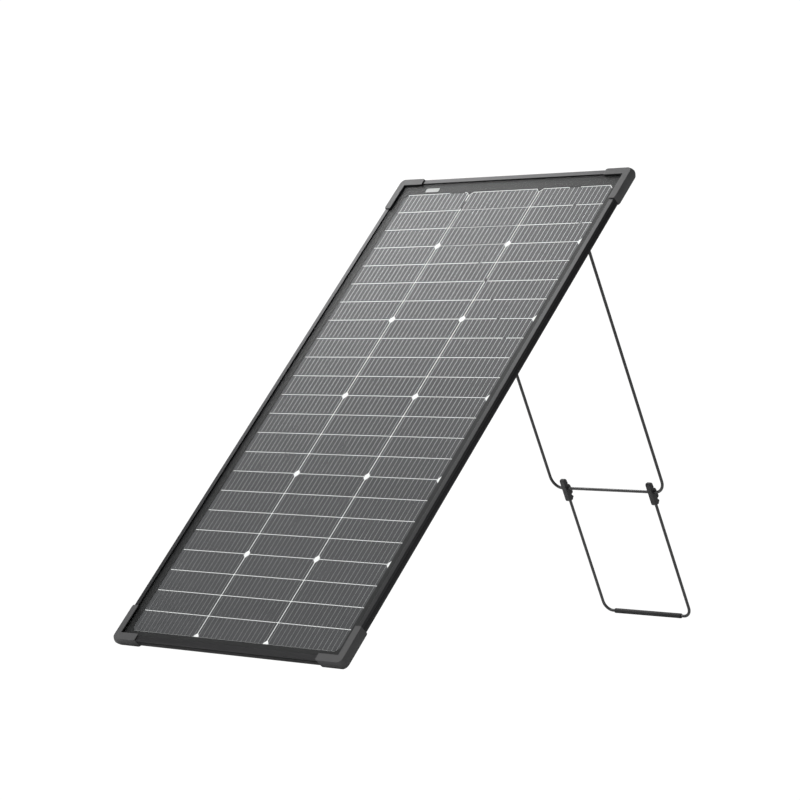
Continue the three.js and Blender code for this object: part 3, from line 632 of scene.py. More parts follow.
def prism(rim: Sequence[Sequence[float]], low: float, high: float) -> bpy.types.Mesh:
    """Makes a straight-sided block from its outline.

    Args:
        rim: The outline, anticlockwise, as pairs of x and y.
        low: The height of its underside.
        high: The height of its top.

    Returns:
        A closed mesh whose vertices are the outline's, first low and then high.
    """
    count = len(rim)
    places = [(x, y, z) for z in (low, high) for x, y in rim]
    faces = [tuple(range(count - 1, -1, -1)), tuple(range(count, 2 * count))]
    for step in range(count):
        after = (step + 1) % count
        faces.append((step, after, after + count, step + count))
    return mesh_of(places, faces)


def settled(shape: bmesh.types.BMesh, name: str) -> bpy.types.Mesh:
    """Turns an edited shape into a mesh, and frees it.

    Args:
        shape: The shape.
        name: The mesh's name.

    Returns:
        The mesh.
    """
    mesh = bpy.data.meshes.new(name)
    shape.to_mesh(mesh)
    shape.free()
    return mesh


def smoothed(mesh: bpy.types.Mesh, sharp_from: float = 38.0) -> bpy.types.Mesh:
    """Shades a mesh smooth, except over edges sharper than an angle.

    Args:
        mesh: The mesh.
        sharp_from: The angle in degrees.

    Returns:
        The same mesh.
    """
    mesh.shade_smooth()
    mesh.set_sharp_from_angle(angle=math.radians(sharp_from))
    return mesh


def joined(meshes: Iterable[bpy.types.Mesh]) -> bpy.types.Mesh:
    """Puts meshes together as one, each with its own materials.

    Args:
        meshes: The meshes.

    Returns:
        One mesh.
    """
    whole = bmesh.new()
    slots: list[bpy.types.Material] = []
    for part in meshes:
        piece = bmesh.new()
        piece.from_mesh(part)
        for face in piece.faces:
            held = part.materials[face.material_index] if part.materials else None
            if held is not None and held not in slots:
                slots.append(held)
            face.material_index = slots.index(held) if held is not None else 0
        whole.from_mesh(settled(piece, "part"))
    made = settled(whole, "joined")
    for material in slots:
        made.materials.append(material)
    return made


def lathe(profile: Sequence[tuple[float, float]], steps: int) -> bpy.types.Mesh:
    """Turns a closed profile about the Z axis, round a bore.

    Args:
        profile: Pairs of radius and height.
        steps: How many steps make the round.

    Returns:
        A closed mesh.
    """
    turned = bmesh.new()
    columns = []
    for step in range(steps):
        angle = math.tau * step / steps
        place = [(r * math.cos(angle), r * math.sin(angle), z) for r, z in profile]
        columns.append([turned.verts.new(spot) for spot in place])
    for step, column in enumerate(columns):
        following = columns[(step + 1) % steps]
        for low in range(len(profile)):
            high = (low + 1) % len(profile)
            turned.faces.new((column[low], following[low], following[high], column[high]))
    bmesh.ops.remove_doubles(turned, verts=turned.verts, dist=POLE_DISTANCE)
    bmesh.ops.dissolve_degenerate(turned, edges=turned.edges, dist=POLE_DISTANCE / 10)
    bmesh.ops.recalc_face_normals(turned, faces=turned.faces)
    return smoothed(settled(turned, "turned"))


def rounded_corners(
    half_width: float, half_height: float, radius: float, steps: int
) -> list[tuple[float, float]]:
    """Draws a rounded rectangle, anticlockwise about its middle.

    Args:
        half_width: Half its width.
        half_height: Half its height.
        radius: Its corners' radius.
        steps: How many steps make each corner.

    Returns:
        Its points.
    """
    points = []
    for turn, (side, end) in enumerate(((1, 1), (-1, 1), (-1, -1), (1, -1))):
        for step in range(steps + 1):
            angle = math.pi / 2 * (turn + step / steps)
            x = side * (half_width - radius) + radius * math.cos(angle)
            y = end * (half_height - radius) + radius * math.sin(angle)
            points.append((x, y))
    return points


def rounded_slab(extent: Extent, radius: float, edge: float, steps: int = 8) -> bpy.types.Mesh:
    """Makes a flat slab with rounded corners and ground edges.

    Args:
        extent: How far it reaches on the panel's axes.
        radius: Its corners' radius.
        edge: How much is ground off each edge.
        steps: How many steps make each corner.

    Returns:
        A closed mesh whose last two faces are its back and its front.
    """
    half = (extent.high - extent.low) / 2
    middle = extent.middle
    levels = (
        (extent.low.z, edge),
        (extent.low.z + edge, 0.0),
        (extent.high.z - edge, 0.0),
        (extent.high.z, edge),
    )
    places: list[tuple[float, float, float]] = []
    for level, inset in levels:
        for x, y in rounded_corners(half.x - inset, half.y - inset, radius - inset, steps):
            places.append((middle.x + x, middle.y + y, level))
    count = len(places) // len(levels)
    faces = []
    for row in range(len(levels) - 1):
        for step in range(count):
            low, high = row * count + step, row * count + (step + 1) % count
            faces.append((low, high, high + count, low + count))
    faces.append(tuple(range(count - 1, -1, -1)))
    faces.append(tuple(range(count * (len(levels) - 1), count * len(levels))))
    return mesh_of(places, faces)


def soft_copy(
    node: bpy.types.Object, width: float, segments: int = 2, corner: float = 32.0
) -> bpy.types.Mesh:
    """Copies a node's shape with its edges softened.

    Args:
        node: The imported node.
        width: How wide the softened edge is.
        segments: How many steps round it.
        corner: How sharp an edge must be to be softened, in degrees.

    Returns:
        A closed mesh, shaded smooth.
    """
    shape = bmesh.new()
    shape.from_mesh(node.data)
    bmesh.ops.remove_doubles(shape, verts=shape.verts, dist=MERGE_DISTANCE)
    bmesh.ops.dissolve_limit(shape, angle_limit=FLAT_ANGLE, verts=shape.verts, edges=shape.edges)
    base = settled(shape, "base")
    for name in [layer.name for layer in base.attributes if layer.name == "custom_normal"]:
        base.attributes.remove(base.attributes[name])
    base.shade_smooth()
    holder = linked("softening", base)
    soft = holder.modifiers.new("softened", "BEVEL")
    soft.width, soft.segments = width, segments
    soft.limit_method, soft.angle_limit = "ANGLE", math.radians(corner)
    soft.harden_normals = True
    made = plain_mesh(holder)
    bpy.data.objects.remove(holder)
    return made


# ---- Finishes ----------------------------------------------------------------------------------


class ShaderGroup(NodeBuilder):
    """A shader node group with named inputs and outputs."""

    def __init__(self, name: str, numbers: dict[str, float], outputs: Sequence[str]) -> None:
        """Makes the group and its sockets.

        Args:
            name: The group's name.
            numbers: Each named number and its usual value.
            outputs: The names of the values it puts out.
        """
        super().__init__(bpy.data.node_groups.new(name, "ShaderNodeTree"))
        face = self.tree.interface
        face.new_socket("Vector", in_out="INPUT", socket_type="NodeSocketVector")
        for label, value in numbers.items():
            socket = face.new_socket(label, in_out="INPUT", socket_type="NodeSocketFloat")
            socket.default_value = value
        for label in outputs:
            face.new_socket(label, in_out="OUTPUT", socket_type="NodeSocketFloat")
        self.given = self.tree.nodes.new("NodeGroupInput")

    def number(self, label: str) -> bpy.types.NodeSocket:
        """The socket of a named input."""
        return self.given.outputs[label]

    def noise(self, size: Any, detail: float = 3.0, roughness: float = 0.55) -> Any:
        """Adds noise whose lumps are of a size.

        Args:
            size: The lumps' size in metres.
            detail: How many finer levels it has.
            roughness: How strong they are.

        Returns:
            The noise, about 0.5.
        """
        scale = self.math("DIVIDE", 1.0, size)
        inputs = {"Vector": self.number("Vector"), "Scale": scale, "Detail": detail}
        return self.add("ShaderNodeTexNoise", inputs | {"Roughness": roughness}).outputs[0]


def grain_group() -> bpy.types.NodeTree:
    """Builds the fine grain of a moulded, coated or anodised surface.

    Returns:
        A group that puts out a height and a tone, both about 0.5.
    """
    group = ShaderGroup("fine_grain", {"Size": 0.8 * MM, "Stipple": 0.5}, ("Height", "Tone"))
    fine = group.noise(group.number("Size"))
    scale = group.math("DIVIDE", 0.8, group.number("Size"))
    inputs = {"Vector": group.number("Vector"), "Scale": scale}
    cells = group.add("ShaderNodeTexVoronoi", inputs, feature="SMOOTH_F1").outputs[0]
    stipple = group.math("MULTIPLY", cells, group.number("Stipple"))
    height = group.math("ADD", fine, stipple)
    broad = group.noise(group.math("MULTIPLY", group.number("Size"), 60.0), 2.0)
    near, far = group.math("MULTIPLY", fine, 0.35), group.math("MULTIPLY", broad, 0.65)
    tone = group.math("ADD", near, far)
    group.add("NodeGroupOutput", {"Height": height, "Tone": tone})
    return group.tree


def scuff_group() -> bpy.types.NodeTree:
    """Builds the faint rubbed patches and hair scratches of handling.

    Returns:
        A group that puts out where the surface is rubbed.
    """
    group = ShaderGroup("handling_scuffs", {"Patch Size": 40 * MM, "Amount": 0.3}, ("Scuff",))
    patches = group.remap(group.noise(group.number("Patch Size"), 4.0), 0.52, 0.72)
    stretch = group.add(
        "ShaderNodeMapping", {"Vector": group.number("Vector"), "Scale": (900.0, 40.0, 300.0)}
    )
    hairs = group.add("ShaderNodeTexNoise", {"Vector": stretch, "Scale": 1.0, "Detail": 2.0})
    lines = group.remap(hairs.outputs[0], 0.56, 0.7)
    rubbed = group.math("MULTIPLY", patches, group.math("MULTIPLY_ADD", lines, 0.7, 0.3))
    scuff = group.math("MULTIPLY", rubbed, group.number("Amount"), clamp=True)
    group.add("NodeGroupOutput", {"Scuff": scuff})
    return group.tree


def dust_group() -> bpy.types.NodeTree:
    """Builds the light dust that settles on whatever faces up.

    Returns:
        A group that puts out how dusty each place is.
    """
    group = ShaderGroup("settled_dust", {"Amount": 0.2, "Patch Size": 25 * MM}, ("Dust",))
    normal = group.add("ShaderNodeNewGeometry").outputs["Normal"]
    rise = group.add("ShaderNodeSeparateXYZ", {0: normal}).outputs[2]
    facing = group.math("MAXIMUM", rise, 0.0)
    patches = group.remap(group.noise(group.number("Patch Size"), 5.0, 0.65), 0.35, 0.75)
    specks = group.remap(group.noise(0.7 * MM, 1.0), 0.5, 0.7)
    spread = group.math("MULTIPLY_ADD", specks, 0.4, patches)
    settled = group.math("MULTIPLY", facing, spread)
    dust = group.math("MULTIPLY", settled, group.number("Amount"), clamp=True)
    group.add("NodeGroupOutput", {"Dust": dust})
    return group.tree


def line_group() -> bpy.types.NodeTree:
    """Builds fine printed or moulded lines, a pitch apart along Y.

    Returns:
        A group that puts out where the lines are.
    """
    group = ShaderGroup("fine_lines", {"Pitch": 1.3 * MM, "Width": 0.08 * MM}, ("Line",))
    along = group.add("ShaderNodeSeparateXYZ", {0: group.number("Vector")}).outputs[1]
    turns = group.math("DIVIDE", along, group.number("Pitch"))
    part = group.math("ABSOLUTE", group.math("SUBTRACT", group.math("FRACT", turns), 0.5))
    half = group.math("DIVIDE", group.number("Width"), group.number("Pitch"))
    half = group.math("MULTIPLY", half, 0.5)
    line = group.math("LESS_THAN", part, half)
    group.add("NodeGroupOutput", {"Line": line})
    return group.tree


@dataclass
class ShaderGroups:
    """The effects that more than one finish uses, built once."""

    grain: bpy.types.NodeTree = field(default_factory=grain_group)
    scuffs: bpy.types.NodeTree = field(default_factory=scuff_group)
    dust: bpy.types.NodeTree = field(default_factory=dust_group)
    lines: bpy.types.NodeTree = field(default_factory=line_group)


class MaterialBuilder(NodeBuilder):
    """Builds one material's nodes, with patterns laid out on given axes."""

    def __init__(self, name: str, axes: Axes, stretch: Lay = Lay.EVEN) -> None:
        """Makes the material.

        Args:
            name: The material's name.
            axes: The axes its patterns follow.
            stretch: Which way its fine lines run.
        """
        self.material = bpy.data.materials.new(name)
        self.material.use_nodes = True
        super().__init__(self.material.node_tree)
        self.tree.nodes.clear()
        coordinates = self.add("ShaderNodeTexCoord").outputs["Object"]
        origin, turn = tuple(axes.origin), (axes.turn, 0.0, 0.0)
        own = {"Vector": coordinates, "Location": origin, "Rotation": turn}
        self.place = self.add("ShaderNodeMapping", own, vector_type="TEXTURE")
        drawn = {"Vector": self.place, "Scale": stretch.value}
        self.along = self.add("ShaderNodeMapping", drawn, vector_type="TEXTURE")

    def group(self, tree: bpy.types.NodeTree, vector: Any, **numbers: float) -> bpy.types.Node:
        """Places a shader group.

        Args:
            tree: The group.
            vector: The coordinates it works on.
            **numbers: Its inputs, with _ for a space.

        Returns:
            The group's node.
        """
        inputs = {"Vector": vector} | titled(numbers)
        return self.add("ShaderNodeGroup", inputs, node_tree=tree)

    def bump(self, strength: float, depth: float, grain: bpy.types.Node) -> bpy.types.Node:
        """Raises the surface by a grain group's height.

        Args:
            strength: How strong the bump is, from 0 to 1.
            depth: How deep it is.
            grain: The grain group's node.

        Returns:
            The bump's node.
        """
        inputs = {"Strength": strength, "Distance": depth, "Height": grain.outputs["Height"]}
        return self.add("ShaderNodeBump", inputs)

    def shades(self, value: Any, colour: Sequence[float], spread: float) -> bpy.types.NodeSocket:
        """Varies a colour by a value, from darker to lighter.

        Args:
            value: The value, from 0 to 1.
            colour: The middle colour.
            spread: How much darker and lighter it gets, as a share.

        Returns:
            The colour.
        """
        dark = tuple(part * (1 - spread) for part in colour) + (1.0,)
        light = tuple(min(1.0, part * (1 + spread)) for part in colour) + (1.0,)
        return self.blend(value, dark, light)

    def finish(self, shader: Any) -> bpy.types.Material:
        """Joins a shader to the output.

        Args:
            shader: The shader.

        Returns:
            The material.
        """
        self.add("ShaderNodeOutputMaterial", {"Surface": shader})
        return self.material


DUST_COLOUR = (0.2, 0.195, 0.185, 1.0)


@dataclass(frozen=True)
class Finish:
    """A plain opaque finish: plastic, rubber, metal or a coating."""

    colour: tuple[float, float, float]
    roughness: float
    metallic: float = 0.0
    tone_spread: float = 0.25
    rough_spread: float = 0.12
    grain: float = 0.8 * MM
    stipple: float = 0.5
    depth: float = 0.03 * MM
    scuff: float = 0.25
    dust: float = 0.12
    coat: float = 0.0
    specular: float = 0.5
    lay: Lay = Lay.EVEN

    def make(self, name: str, groups: ShaderGroups, axes: Axes) -> bpy.types.Material:
        """Builds the material.

        Args:
            name: Its name.
            groups: The shared effects.
            axes: The axes its patterns follow.

        Returns:
            The material.
        """
        build = MaterialBuilder(name, axes, self.lay)
        grain = build.group(groups.grain, build.along, size=self.grain, stipple=self.stipple)
        scuff = build.group(groups.scuffs, build.place, amount=self.scuff).outputs["Scuff"]
        dust = build.group(groups.dust, build.place, amount=self.dust).outputs["Dust"]
        tone = grain.outputs["Tone"]
        rubbed = tuple(min(1.0, part * 1.8 + 0.012) for part in self.colour) + (1.0,)
        colour = build.shades(tone, self.colour, self.tone_spread)
        colour = build.blend(scuff, colour, rubbed)
        colour = build.blend(dust, colour, DUST_COLOUR)
        swing = build.math("MULTIPLY_ADD", tone, 2 * self.rough_spread, -self.rough_spread)
        rough = build.math("ADD", swing, self.roughness)
        rough = build.math("MULTIPLY_ADD", scuff, -0.12, rough)
        rough = build.math("MULTIPLY_ADD", dust, 0.3, rough, clamp=True)
        bump = build.bump(0.6, self.depth, grain)
        shader = build.add(
            "ShaderNodeBsdfPrincipled",
            {
                "Base Color": colour,
                "Roughness": rough,
                "Metallic": self.metallic,
                "Coat Weight": self.coat,
                "Coat Roughness": 0.25,
                "Specular IOR Level": self.specular,
                "Normal": bump,
            },
        )
        return build.finish(shader)


@dataclass(frozen=True)
class SiliconFinish:
    """The cells' dark face, with its fine printed fingers."""

    colour: tuple[float, float, float] = (0.07, 0.07, 0.075)
    finger_colour: tuple[float, float, float] = (0.17, 0.17, 0.175)
    finger_pitch: float = 1.3 * MM
    finger_width: float = 0.3 * MM
    roughness: float = 0.42
    specular: float = 0.1
    strip_spread: float = 0.16

    def make(self, name: str, groups: ShaderGroups, axes: Axes) -> bpy.types.Material:
        """Builds the material.

        Args:
            name: Its name.
            groups: The shared effects.
            axes: The panel's axes.

        Returns:
            The material.
        """
        build = MaterialBuilder(name, axes)
        strip = build.add("ShaderNodeAttribute", attribute_name="tone").outputs["Fac"]
        grain = build.group(groups.grain, build.place, size=0.5 * MM, stipple=0.3)
        tone = grain.outputs["Tone"]
        swing = build.math("MULTIPLY_ADD", strip, 0.6, build.math("MULTIPLY", tone, 0.4))
        colour = build.shades(swing, self.colour, self.strip_spread)
        fingers = {"pitch": self.finger_pitch, "width": self.finger_width}
        line = build.group(groups.lines, build.place, **fingers).outputs["Line"]
        colour = build.blend(line, colour, self.finger_colour + (1.0,))
        rough = build.math("MULTIPLY_ADD", tone, 0.06, self.roughness - 0.03)
        bump = build.bump(0.2, 0.002 * MM, grain)
        shader = build.add(
            "ShaderNodeBsdfPrincipled",
            {
                "Base Color": colour,
                "Roughness": rough,
                "Specular IOR Level": self.specular,
                "Normal": bump,
            },
        )
        return build.finish(shader)


@dataclass(frozen=True)
class GlassFinish:
    """Clear tempered glass: its outer face shines, and where it is bonded it can't be seen."""

    ior: float = 1.15
    roughness: float = 0.3
    dust: float = 0.02
    tint: tuple[float, float, float] = (0.985, 0.99, 0.987)
    sheen: tuple[float, float, float] = (0.95, 0.95, 0.95)
    dulled: tuple[float, float, float] = (0.6, 0.59, 0.57)

    def make(self, name: str, groups: ShaderGroups, axes: Axes) -> bpy.types.Material:
        """Builds the material. Its sheen lies only on the side that faces the air.

        Args:
            name: Its name.
            groups: The shared effects.
            axes: The panel's axes.

        Returns:
            The material.
        """
        build = MaterialBuilder(name, axes)
        grain = build.group(groups.grain, build.place, size=1.2 * MM, stipple=0.8)
        dust = build.group(groups.dust, build.place, amount=self.dust).outputs["Dust"]
        colour = build.blend(dust, self.sheen + (1.0,), self.dulled + (1.0,))
        rough = build.math("MULTIPLY_ADD", grain.outputs["Tone"], 0.03, self.roughness - 0.015)
        bump = build.bump(0.05, 0.001 * MM, grain)
        shine = build.add(
            "ShaderNodeBsdfPrincipled",
            {"Base Color": colour, "Roughness": rough, "Metallic": 1.0, "Normal": bump},
        )
        clear = build.add("ShaderNodeBsdfTransparent", {"Color": self.tint + (1.0,)})
        mirror = build.add("ShaderNodeFresnel", {"IOR": self.ior}).outputs[0]
        inside = build.add("ShaderNodeNewGeometry").outputs["Backfacing"]
        share = build.math("MULTIPLY", mirror, build.math("SUBTRACT", 1.0, inside))
        shader = build.add("ShaderNodeMixShader", {0: share, 1: clear, 2: shine})
        return build.finish(shader)


BLACK_ANODISED = Finish(
    colour=(0.03, 0.03, 0.032),
    roughness=0.32,
    metallic=0.5,
    grain=0.5 * MM,
    stipple=0.15,
    depth=0.012 * MM,
    scuff=0.2,
    dust=0.05,
    tone_spread=0.18,
)
MOULDED_PLASTIC = Finish(
    colour=(0.073, 0.073, 0.075),
    roughness=0.5,
    grain=0.7 * MM,
    depth=0.04 * MM,
    scuff=0.25,
    dust=0.06,
)
PALE_PRINT = Finish((0.5, 0.5, 0.5), 0.45, grain=0.6 * MM, scuff=0.0, dust=0.0, depth=0.005 * MM)
WHITE_PATCH = Finish((0.87, 0.87, 0.87), 0.6, grain=1.5 * MM, depth=0.001 * MM, scuff=0.0)
FINISHES: dict[Slot, Finish] = {
    Slot.RAIL: BLACK_ANODISED,
    Slot.GUARD: MOULDED_PLASTIC,
    Slot.PRINT: Finish(
        (0.022, 0.022, 0.023),
        0.5,
        rough_spread=0.03,
        grain=1.5 * MM,
        scuff=0.0,
        dust=0.0,
        depth=0.001 * MM,
        specular=0.12,
    ),
    Slot.FILM: Finish((0.6, 0.6, 0.6), 0.3, grain=1.5 * MM, scuff=0.0, dust=0.0, depth=0.004 * MM),
    Slot.COPPER: Finish(
        (0.62, 0.62, 0.63), 0.3, metallic=0.85, grain=0.9 * MM, scuff=0.1, dust=0.0
    ),
    Slot.SEAL: Finish((0.016, 0.016, 0.017), 0.7, grain=1.0 * MM, scuff=0.05, dust=0.05),
    Slot.BOX: Finish((0.03, 0.03, 0.031), 0.45, grain=0.9 * MM, scuff=0.2, dust=0.1),
    Slot.STEEL: Finish(
        (0.34, 0.34, 0.35), 0.32, metallic=0.95, grain=0.4 * MM, scuff=0.2, dust=0.03
    ),
    Slot.WIRE: Finish(
        (0.045, 0.045, 0.046), 0.3, grain=0.6 * MM, depth=0.004 * MM, scuff=0.2, dust=0.04, coat=0.4
    ),
    Slot.BRACKET: Finish((0.024, 0.024, 0.025), 0.42, grain=0.6 * MM, depth=0.02 * MM, scuff=0.3),
    Slot.BUSH: Finish((0.05, 0.05, 0.05), 0.4, grain=0.8 * MM, scuff=0.1),
    Slot.CLIP: Finish((0.036, 0.036, 0.037), 0.45, grain=0.7 * MM, depth=0.03 * MM, scuff=0.25),
    Slot.FOOT: Finish(
        (0.03, 0.03, 0.031), 0.62, grain=1.1 * MM, depth=0.05 * MM, scuff=0.2, dust=0.1
    ),
}


class Wardrobe:
    """Every material of the object, built once."""

    def __init__(self, panel: Axes) -> None:
        """Builds the materials.

        Args:
            panel: The panel's axes, which the patterns follow.
        """
        groups = ShaderGroups()
        self.plain = {slot: made.make(slot.value, groups, panel) for slot, made in FINISHES.items()}
        self.silicon = SiliconFinish().make("silicon_cell", groups, panel)
        self.glass_outer = GlassFinish().make("clear_glass_outer", groups, panel)
        bonded = GlassFinish(ior=1.0, dust=0.0)
        self.glass_bonded = bonded.make("clear_glass_bonded", groups, panel)
        lines = {Lay.ACROSS: "rail_anodised_across", Lay.UP_SLOPE: "rail_anodised_up"}
        self.rails = {
            lay: replace(BLACK_ANODISED, lay=lay).make(name, groups, panel)
            for lay, name in lines.items()
        }
        self.pale_print = PALE_PRINT.make("pale_print", groups, panel)
        self.white_patch = WHITE_PATCH.make("white_patch", groups, panel)

    def of(self, slot: Slot) -> bpy.types.Material:
        """The material of a slot."""
        special = {Slot.SILICON: self.silicon, Slot.GLASS: self.glass_outer}
        return special.get(slot) or self.plain[slot]


# ---- Sub-assemblies ----------------------------------------------------------------------------


@dataclass
class Workshop:
    """What every sub-assembly is made with."""

    frame: dict[str, Any]
    panel: Axes
    stand: Axes
    wardrobe: Wardrobe
    wire: GeometryTree = field(default_factory=wire_tree)
    strips: GeometryTree = field(default_factory=strip_tree)
    bars: GeometryTree = field(default_factory=bar_tree)
    ribs: GeometryTree = field(default_factory=ring_tree)
    screws: GeometryTree = field(default_factory=screw_tree)

    def node(self, name: str) -> bpy.types.Object:
        """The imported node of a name."""
        return self.frame["nodes"][name]


@dataclass(frozen=True)
class ScrewSize:
    """The sizes of a screw with a cross recess."""

    head: float = 3.2 * MM
    height: float = 2 * MM
    recess: float = 0.9 * MM
    shank: float = 1.4 * MM


@dataclass
class SubAssembly:
    """A group of pieces that ride on one body."""

    shop: Workshop
    body: Body = Body.PANEL

    def piece(
        self, name: str, mesh: bpy.types.Mesh, slot: Slot, *stands_for: str, own: bool = False
    ) -> bpy.types.Object:
        """Adds a finished piece.

        Args:
            name: Its name.
            mesh: Its mesh, in place.
            slot: The record's slot that it takes its finish from.
            *stands_for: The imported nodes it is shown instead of.
            own: Whether the mesh has its own materials already.

        Returns:
            The piece.
        """
        mesh.name = name
        if not own:
            mesh.materials.clear()
            mesh.materials.append(self.shop.wardrobe.of(slot))
        made = linked(name, mesh)
        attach(made, self.body.value)
        if stands_for:
            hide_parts(*stands_for)
        log.info("%s: %d faces on %s", name, len(mesh.polygons), self.body.value)
        return made

    def soft(self, node: str, slot: Slot, width: float, segments: int = 2) -> bpy.types.Object:
        """Shows a node's shape with softened edges.

        Args:
            node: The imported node.
            slot: Its finish.
            width: How wide the softened edge is.
            segments: How many steps round it.

        Returns:
            The piece.
        """
        mesh = soft_copy(self.shop.node(node), width, segments)
        return self.piece(f"{node}_shape", mesh, slot, node)

    def dress(self, slot: Slot, *nodes: str) -> None:
        """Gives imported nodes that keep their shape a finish.

        Args:
            slot: The finish.
            *nodes: The nodes.
        """
        for name in nodes:
            node = self.shop.node(name)
            node.data.materials.clear()
            node.data.materials.append(self.shop.wardrobe.of(slot))
            log.info("%s: dressed as %s", name, slot.value)

    def screw(self, node: str, size: ScrewSize) -> None:
        """Shows a screw of the panel, whose head faces away from the glass.

        Args:
            node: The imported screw.
            size: Its sizes.
        """
        extent = self.shop.panel.extent(self.shop.node(node))
        mesh = self.shop.screws.grow(
            mesh_of([(0.0, 0.0, 0.0)]),
            self.shop.wardrobe.of(Slot.STEEL),
            head_radius=size.head,
            head_height=size.height,
            shank_radius=size.shank,
            shank_length=extent.high.z - extent.low.z - size.height,
            slot_depth=size.recess,
        )
        place = Vector((extent.middle.x, extent.middle.y, extent.low.z + size.height))
        turn = Matrix.Rotation(math.pi, 4, "X")
        mesh.transform(self.shop.panel.matrix @ Matrix.Translation(place) @ turn)
        self.dress(Slot.STEEL, node)
        self.piece(f"{node}_shape", smoothed(mesh, SCREW_SHARP_FROM), Slot.STEEL, node)


@dataclass
class RailFrame(SubAssembly):
    """The four anodised rails."""

    edge: float = 0.4 * MM

    def build(self) -> None:
        """Softens the rails' edges and dresses them with die lines along their length."""
        for side, lay in (
            ("bottom", Lay.ACROSS),
            ("right", Lay.UP_SLOPE),
            ("top", Lay.ACROSS),
            ("left", Lay.UP_SLOPE),
        ):
            name = f"frame_rail_{side}"
            self.dress(Slot.RAIL, name)
            mesh = soft_copy(self.shop.node(name), self.edge)
            mesh.materials.clear()
            mesh.materials.append(self.shop.wardrobe.rails[lay])
            self.piece(f"{name}_shape", mesh, Slot.RAIL, name, own=True)


@dataclass
class CornerGuards(SubAssembly):
    """The moulded guards on the frame's corners, with their keys and screws."""

    edge: float = 0.7 * MM
    edge_steps: int = 3
    screw_size: ScrewSize = ScrewSize(2.6 * MM, 0.6 * MM, 0.4 * MM)

    def build(self) -> None:
        """Makes the guards and their screws."""
        for corner in ("bottom_left", "bottom_right", "top_right", "top_left"):
            guard = f"corner_guard_{corner}"
            self.dress(Slot.GUARD, guard)
            self.soft(guard, Slot.GUARD, self.edge, self.edge_steps)
            self.dress(Slot.STEEL, f"corner_key_{corner}")
            self.screw(f"guard_screw_{corner}", self.screw_size)


